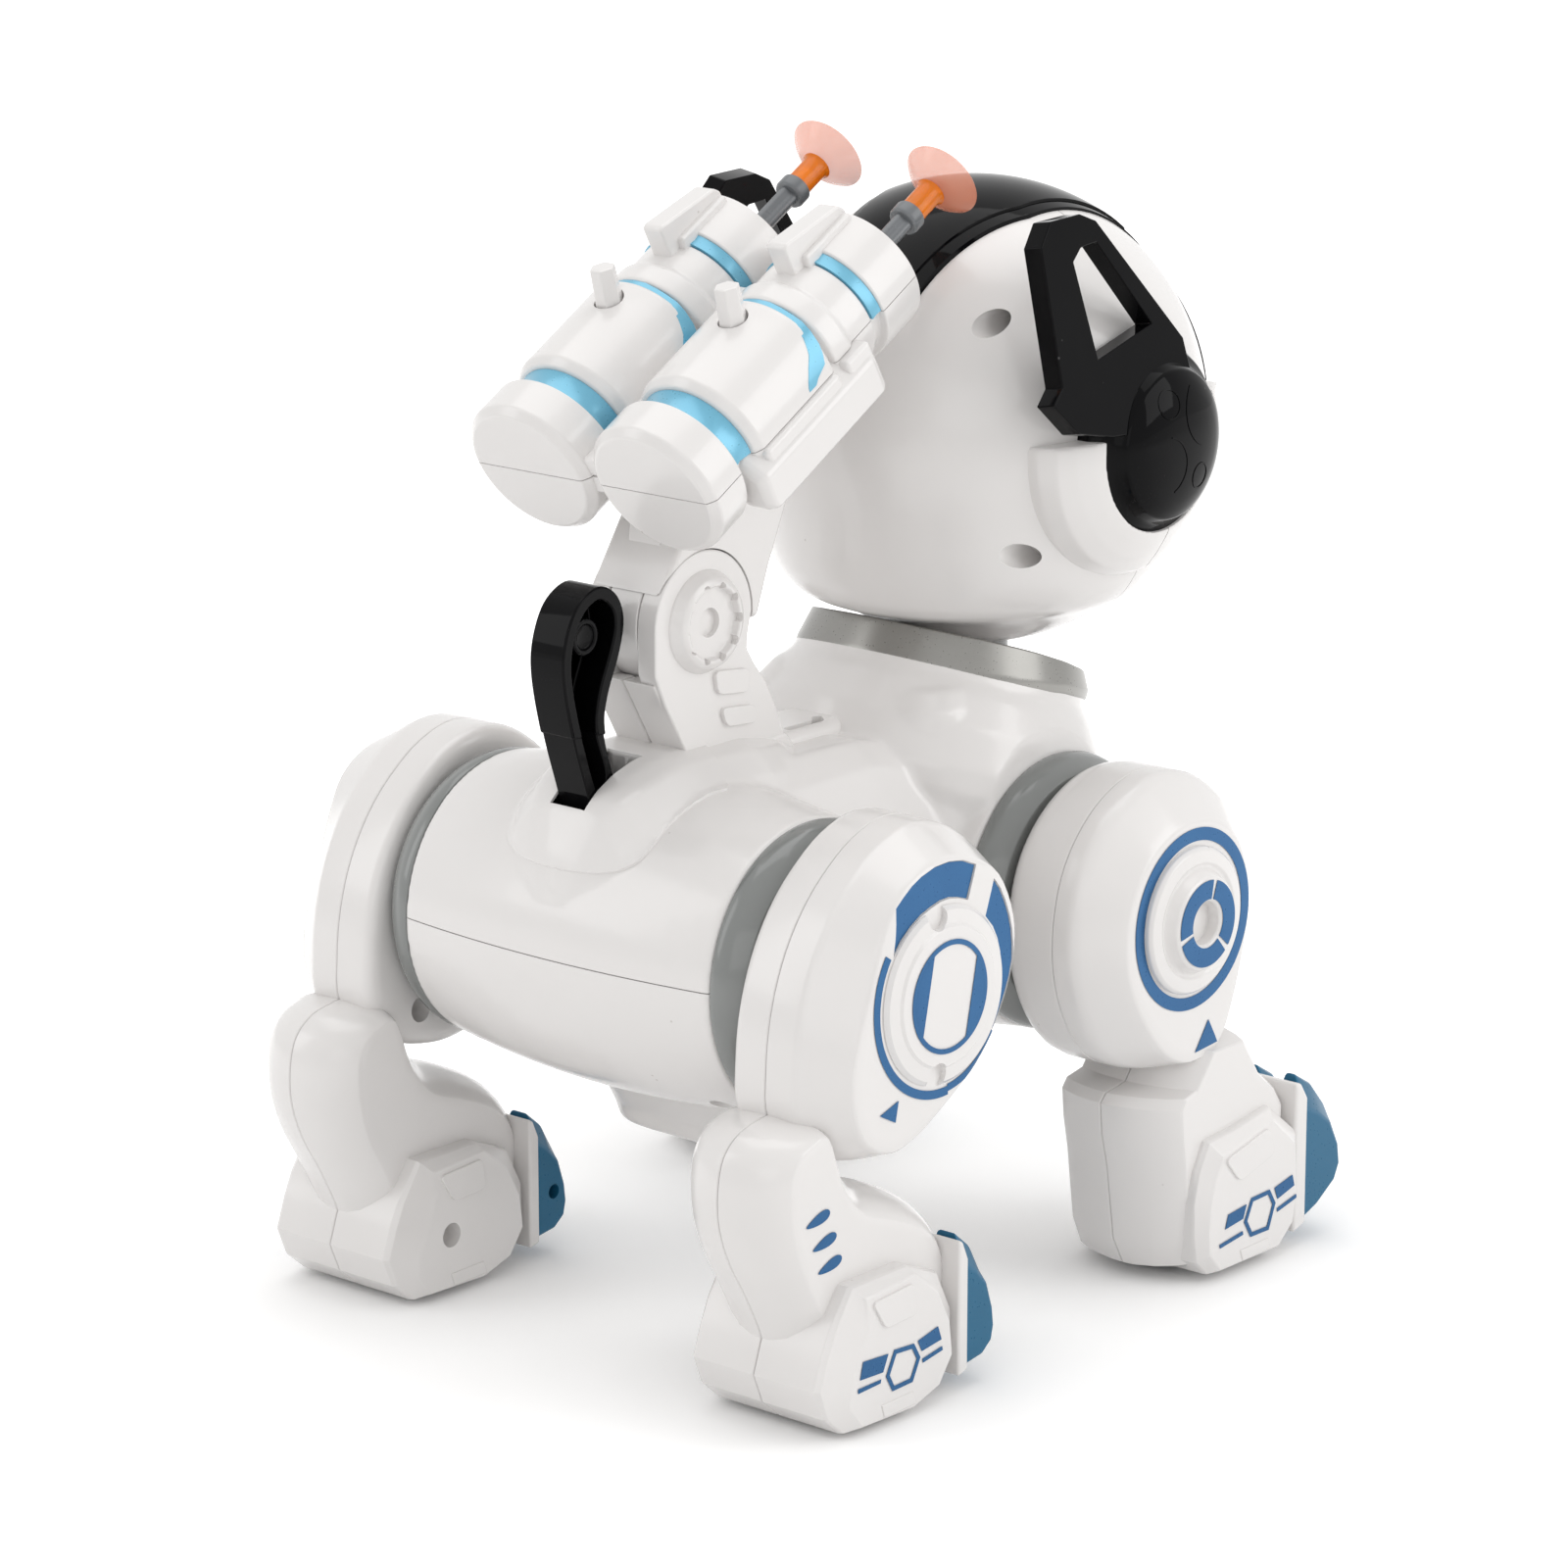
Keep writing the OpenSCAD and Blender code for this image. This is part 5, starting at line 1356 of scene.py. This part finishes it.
# %% Barrels
BARREL_Y = 17.5
LAUNCH = Matrix.Translation(Vector((-75, 0, 190)) * MM) @ Matrix.Rotation(math.radians(-30), 4, "Y")
PEG_S = 38
PEG_Z = 14
PEG_LEAN = 14
WEB_SPANS = ((2, 10.6), (18, 45), (47.6, 61.4))
tube = [(0, 0), (14.8, 0), (16.5, 1.8), (16.5, 10.8), (13.2, 10.8), (13.2, 16.9), (15.2, 16.9),
        (16.5, 18.9), (16.5, 44.2), (15.8, 45.2), (13.2, 45.2), (13.2, 47.2), (14.9, 47.2), (15.2, 48.2),
        (15.2, 52.6), (14.2, 54), (14.2, 61.8), (13.2, 61.8), (13.2, 65), (15.2, 65), (15.2, 77.6),
        (0, 77.6)]


def on_barrel(name, profile, side, closed=False, steps=96):
    return turned(name, profile, (0, side * BARREL_Y, 0), ALONG, closed=closed, steps=steps)


def peg_place(side):
    lean = Matrix.Rotation(math.radians(PEG_LEAN), 4, "Y")
    return Matrix.Translation(Vector((PEG_S, side * BARREL_Y, PEG_Z)) * MM) @ lean


barrels = [soften(on_barrel("barrel", tube, side, steps=128), 0.7, 3) for side in (-1, 1)]
for barrel, side in zip(barrels, (-1, 1)):
    combine(barrel, rod("bore", 3.2, 70, 90, (0, side * BARREL_Y, 0), ALONG, steps=48))
    hole = rod("hole", 3.4, -8, 12, (0, 0, 0), UPWARD, steps=48)
    combine(barrel, placed(hole, peg_place(side)))
whole = joined("barrels", barrels)
top = cut_half(whole, "launcher_top", (0, 0, HAIR), DOWNWARD)
bottom = cut_half(whole, "launcher_bottom", (0, 0, -HAIR), UPWARD)
bpy.data.objects.remove(whole)

# %% [markdown]
# The upper half carries a sight on each barrel; the lower half has side rails, a plate under the barrels
# and the box that the arm holds.

# %% Sights, rails and box


def sight(side):
    ridge = [(56.7, 12), (56.9, 21), (58, 21.5), (75.4, 18.4), (76.9, 16.6), (77.1, 13)]
    foot = [(60, 12), (60.4, 16.4), (76.2, 16.2), (77.1, 13)]
    middle = side * BARREL_Y
    pieces = [soften(plate("sight", ridge, middle - 2.7, middle + 2.7), 0.8, 3),
              soften(plate("foot", foot, middle - 4.2, middle + 4.2), 0.6, 3)]
    return joined("sight", pieces)


def barrel_webs(low, high):
    return [soften(block("web", s0, s1, -BARREL_Y, BARREL_Y, low, high), 0.6, 2) for s0, s1 in WEB_SPANS]


webs = barrel_webs(HAIR, 4.5)
top = joined("launcher_top", [top, sight(-1), sight(1)] + webs)
under = barrel_webs(-4.5, -HAIR)
under.append(soften(block("wings", 18, 45, -35.2, 35.2, -11, -0.2), 1.2, 3))
under.append(soften(block("wings", 47.6, 56, -35.2, 35.2, -11, -0.2), 1.0, 3))
under.append(soften(block("box", 22, 58, -12, 12, -17, -8), 1.0, 3))
rail = [(27, 0.8), (31, 0.5), (36.1, -4), (36.1, -12.4), (33.5, -13.2), (27, -13)]
for side in (-1, 1):
    sections = [(13, 1.6), (14.6, 0), (54.4, 0), (56, 1.2)]
    ends = [[(s, side * y, z) for y, z in inset(rail, margin)] for s, margin in sections]
    under.append(soften(loft("rail", ends), 0.8, 3, angle=24))
bottom = joined("launcher_bottom", [bottom] + under)
set_in(placed(top, LAUNCH), "launcher", white, "white_plastic", "launcher_top_shell")
set_in(placed(bottom, LAUNCH), "launcher", white, "white_plastic", "launcher_bottom_shell")

# %% [markdown]
# The bands are painted half rings in the grooves of the upper half, and one on each barrel slants. The
# pegs are six-sided and taper.

# %% Bands and trigger pegs
bands = []
SLANTED = [(4, 36.2, 38.6, 16.62), (7, 36.4, 39.8, 16.62), (11, 37.2, 43.2, 16.62), (18, 39, 44.2, 16.62),
           (25, 41.2, 44.9, 16.62), (36, 42.9, 45.5, 16.62), (45, 43.6, 46, 16.3), (55, 44.4, 46.5, 15.4),
           (66, 45.1, 46.9, 14.9), (78, 45.3, 47.1, 14.9), (90, 45.3, 47.1, 14.9)]


def slanted_band(side):
    stations = SLANTED + [(180 - turn, s0, s1, r) for turn, s0, s1, r in reversed(SLANTED[3:-1])]
    sections = []
    for angle, s0, s1, r in stations:
        turn = math.radians(angle)
        corners = [(s0, r - 1.2), (s1, r - 1.2), (s1, r), (s0, r)]
        ring = [(s, BARREL_Y + q * math.cos(turn), q * math.sin(turn)) for s, q in corners]
        sections.append([(s, side * y, z) for s, y, z in ring])
    return loft("slanted_band", sections)


for side in (-1, 1):
    bands.append(slanted_band(side))
    for s0, s1, low, high in ((10.8, 16.9, 13.6, 14.4), (61.8, 65, 14.4, 14.6)):
        mid = (s0 + s1) / 2
        profile = [(12.6, s0 + 0.1), (high, s0 + 0.1), (low, mid), (high, s1 - 0.1), (12.6, s1 - 0.1)]
        band = on_barrel("band", profile, side, closed=True, steps=128)
        bands.append(cut_half(band, "half_band", (0, 0, 0.2), DOWNWARD))
        bpy.data.objects.remove(band)
set_in(placed(joined("bands", bands), LAUNCH), "launcher", sky_blue, "sky_paint", "launcher_bands")


def trigger_peg(name, side):
    sections = []
    for height, radius in ((-7.7, 3.9), (-6.8, 3.9), (-6.8, 3.2), (0, 3.2), (9.7, 2.9), (10, 2.6)):
        turns = [math.radians(60 * i + 30) for i in range(6)]
        sections.append([(radius * math.cos(turn), radius * math.sin(turn), height) for turn in turns])
    peg = soften(loft(name, sections), 0.35, 2, angle=40)
    return placed(peg, LAUNCH @ peg_place(side))


set_in(trigger_peg("left_peg", 1), "left_trigger", white, "white_plastic", "trigger_left")
set_in(trigger_peg("right_peg", -1), "right_trigger", white, "white_plastic", "trigger_right")

# %% [markdown]
# ## Darts
# A dart has a grey shaft with four flutes and a collar, and a soft tip of clear orange vinyl with a
# suction cup. The thick stub is deeper in colour than the thin cup.

# %% Darts
DART_COLLAR = [(0, 97.6), (3.2, 97.6), (3.6, 98.4), (3.6, 101), (0, 101)]
DART_STUB = [(0, 101), (2.7, 101), (2.9, 101.4), (2.9, 107.6), (3.5, 108.7), (0, 109.2)]
DART_CUP = [(0, 109.3), (3.6, 108.8), (5.6, 110), (7.6, 111.6), (9, 113.2), (8.85, 113.35), (7.3, 112.1),
            (5.3, 110.7), (3, 109.9), (0, 109.7)]


def fluted(name, side, s0, s1):
    turns = [math.radians(10 * i) for i in range(36)]
    radii = [2.35 + 0.3 * math.cos(4 * turn) for turn in turns]
    ring = [(radius * math.cos(turn), radius * math.sin(turn)) for turn, radius in zip(turns, radii)]
    return loft(name, [[(s, side * BARREL_Y + y, z) for y, z in ring] for s in (s0, s1)])


def dart(side, back, body):
    place = LAUNCH @ Matrix.Translation(Vector((-back, 0, 0)) * MM)
    collar = soften(on_barrel("collar", DART_COLLAR, side, steps=48), 0.25, 2)
    shaft = joined(f"{body}_shaft", [fluted("shaft", side, 40, 99), collar])
    word = body.split("_")[0]
    set_in(placed(shaft, place), body, dart_grey, "grey_plastic", f"dart_{word}_shaft")
    stub = on_barrel(f"{body}_stub", DART_STUB, side, steps=64)
    set_in(placed(stub, place), body, vinyl, "orange_vinyl", f"dart_{word}_tip")
    cup = on_barrel(f"{body}_cup", DART_CUP, side)
    set_in(placed(cup, place), body, cup_vinyl, "orange_vinyl")


dart(1, 1.0, "left_dart")
dart(-1, 4.5, "right_dart")

# %% [markdown]
# ## Arm and post
# The launcher stands on a post of two cheeks, with an arm between them that can nod about a short boss.

# %% Arm and post
PIVOT = (-50.6, 157.4)
PIVOT_PLACE = (PIVOT[0], 0, PIVOT[1])
POST_R = 15.5


def clear_of_pivot(piece, radius):
    return combine(piece, rod("clear", radius, -20, 20, PIVOT_PLACE, ACROSS))


arm_outline = [(-66, 160), (-64, 166), (-58, 175), (-44, 196), (-14, 213.5), (-16, 194), (-29, 166),
               (-33, 155)]
arm = plate("arm", arm_outline, -10, 10)
soften(arm, 1.4, 3)
clear_of_pivot(arm, 15.75)
soften(arm, 0.3, 2, angle=50)
tongue = turned("tongue", [(0, -4.4), (15.2, -4.4), (15.4, -4.2), (15.4, 4.2), (15.2, 4.4), (0, 4.4)],
                PIVOT_PLACE, ACROSS)
root = plate("root", [(-60, 160), (-58, 178), (-34, 172), (-38, 158)], -4.4, 4.4)
set_in(joined("launcher_arm_piece", [arm, tongue, root]), "launcher", white, "white_plastic",
       "launcher_arm")

POST_PADS = [[(-48.1, 146.2), (-36.8, 144.8), (-37.2, 139.6), (-47.1, 140.8)],
             [(-46, 137.6), (-35, 136.5), (-34.5, 132.4), (-44.3, 133.2)]]


def ring_points(centre, radius, count):
    return arc(centre, radius, 0, 360, count)[:count]


def post_cheek():
    outline = arc(PIVOT, POST_R, 0, 180) + [
        (-66.1, 148), (-63, 141), (-55, 127), (-24.2, 127), (-27, 134), (-30.5, 140.6),
        (-34.5, 145.6), (-36.6, 149), (-36.3, 152.5)]
    cheek = soften(plate("cheek", outline, 4.75, 10), 0.5, 3)
    foot = soften(plate("foot", [(-66, 146), (-55, 127), (-25.2, 127), (-36.5, 146)], HAIR, 9), 0.6, 2)
    clear_of_pivot(foot, 15.8)
    pads = [soften(plate("pad", round_corners(outline, 1.8), 9, 11), 0.6, 3) for outline in POST_PADS]
    boss = turned("boss", [(0, 8), (11.3, 8), (11.3, 10.2), (9.8, 12.6), (8.7, 13.2), (8, 13.2),
                           (7.7, 11.4), (0, 11.4)], PIVOT_PLACE, ACROSS)
    soften(boss, 0.4, 2)
    wells(boss, [PIVOT], 3.2, 5, 20)
    wells(boss, ring_points(PIVOT, 8.0, 10), 1.0, 11.5, 20)
    return joined("post", [cheek, foot, boss] + pads)


post = post_cheek()
set_in(mirrored(post, "post_right"), "torso", white, "white_plastic", "launcher_post_right")
post.name = post.data.name = "post_left"
set_in(post, "torso", white, "white_plastic", "launcher_post_left")

# %% [markdown]
# ## Saddle
# The saddle lies under the post and ends in a rounded tongue over the loin, with a hooked groove near its
# tip.

# %% Saddle
saddle = soften(plate("saddle", [(-60, 123), (-60, 128), (-24, 128), (-20, 123)], -10.5, 10.5), 0.8, 3)
tongue = rounded_stack("tongue", [(-14, 20.3, 9.6, 112), (-14, 20.1, 9.4, 124), (-14, 19.6, 8.9, 125.6),
                                  (-14, 18.4, 7.8, 126.5), (-14, 16.6, 6.2, 126.8)], power=0.8)
soften(tongue, 0.6, 3, angle=24)
hook = round_corners([(-19, -6.6), (-7, -6.6), (-4.6, -3.6), (-6.4, -2.4), (-9, -4.6), (-19, -4.6)], 0.8)
combine(tongue, loft("hook", [[(x, y, z) for x, y in hook] for z in (123.5, 135)]))
set_in(joined("saddle_piece", [saddle, tongue]), "torso", white, "white_plastic", "saddle_cover")

# %% [markdown]
# ## Tail
# The tail is a curved black shell, closed on its left side and open on its right, with a round boss
# inside its end. Its upper half is a little thicker, so a step runs round it half way up.

# %% Tail
TAIL_HALF = 4.5
SLEEVE = 0.35
tail_outline = [(-77, 107), (-80.5, 121), (-85.7, 137), (-88.6, 150), (-88.2, 158), (-84.6, 165.3),
                (-78.2, 168.6), (-72.8, 166.4), (-70.4, 161), (-71.8, 154), (-75.6, 145), (-76.5, 138),
                (-73.4, 127), (-70, 121), (-69, 107)]
tail_hollow = [(-78.3, 124), (-83.4, 138), (-86.2, 150), (-85.8, 157.4), (-83, 163.2), (-78.2, 166.1),
               (-74.2, 164), (-72.8, 160.2), (-74.2, 155), (-78, 146), (-79, 138), (-75.8, 128)]
tail_curve = smooth_loop(tail_outline, 90)
tail_piece = plate("tail_piece", tail_curve, -TAIL_HALF, TAIL_HALF)
sleeve = plate("sleeve", inset(tail_curve, -SLEEVE), -TAIL_HALF - SLEEVE, TAIL_HALF + SLEEVE)
combine(sleeve, plate("low", [(-100, 100), (-60, 100), (-60, 135.4), (-100, 138.6)], -10, 10))
for piece, bevel in ((tail_piece, 0.7), (sleeve, 0.6)):
    combine(piece, plate("hollow", smooth_loop(tail_hollow, 72), -10, 2.6))
    soften(piece, bevel, 3)
boss = turned("boss", [(0, -2.2), (2.6, -2.2), (2.8, -2.9), (3.8, -2.9), (4.1, -2.5), (4.1, 3), (0, 3)],
              (-80, 0, 158.2), ACROSS, steps=64)
set_in(joined("tail_piece", [tail_piece, sleeve, soften(boss, 0.25, 2)]), "tail_body", black,
       "black_plastic", "tail")
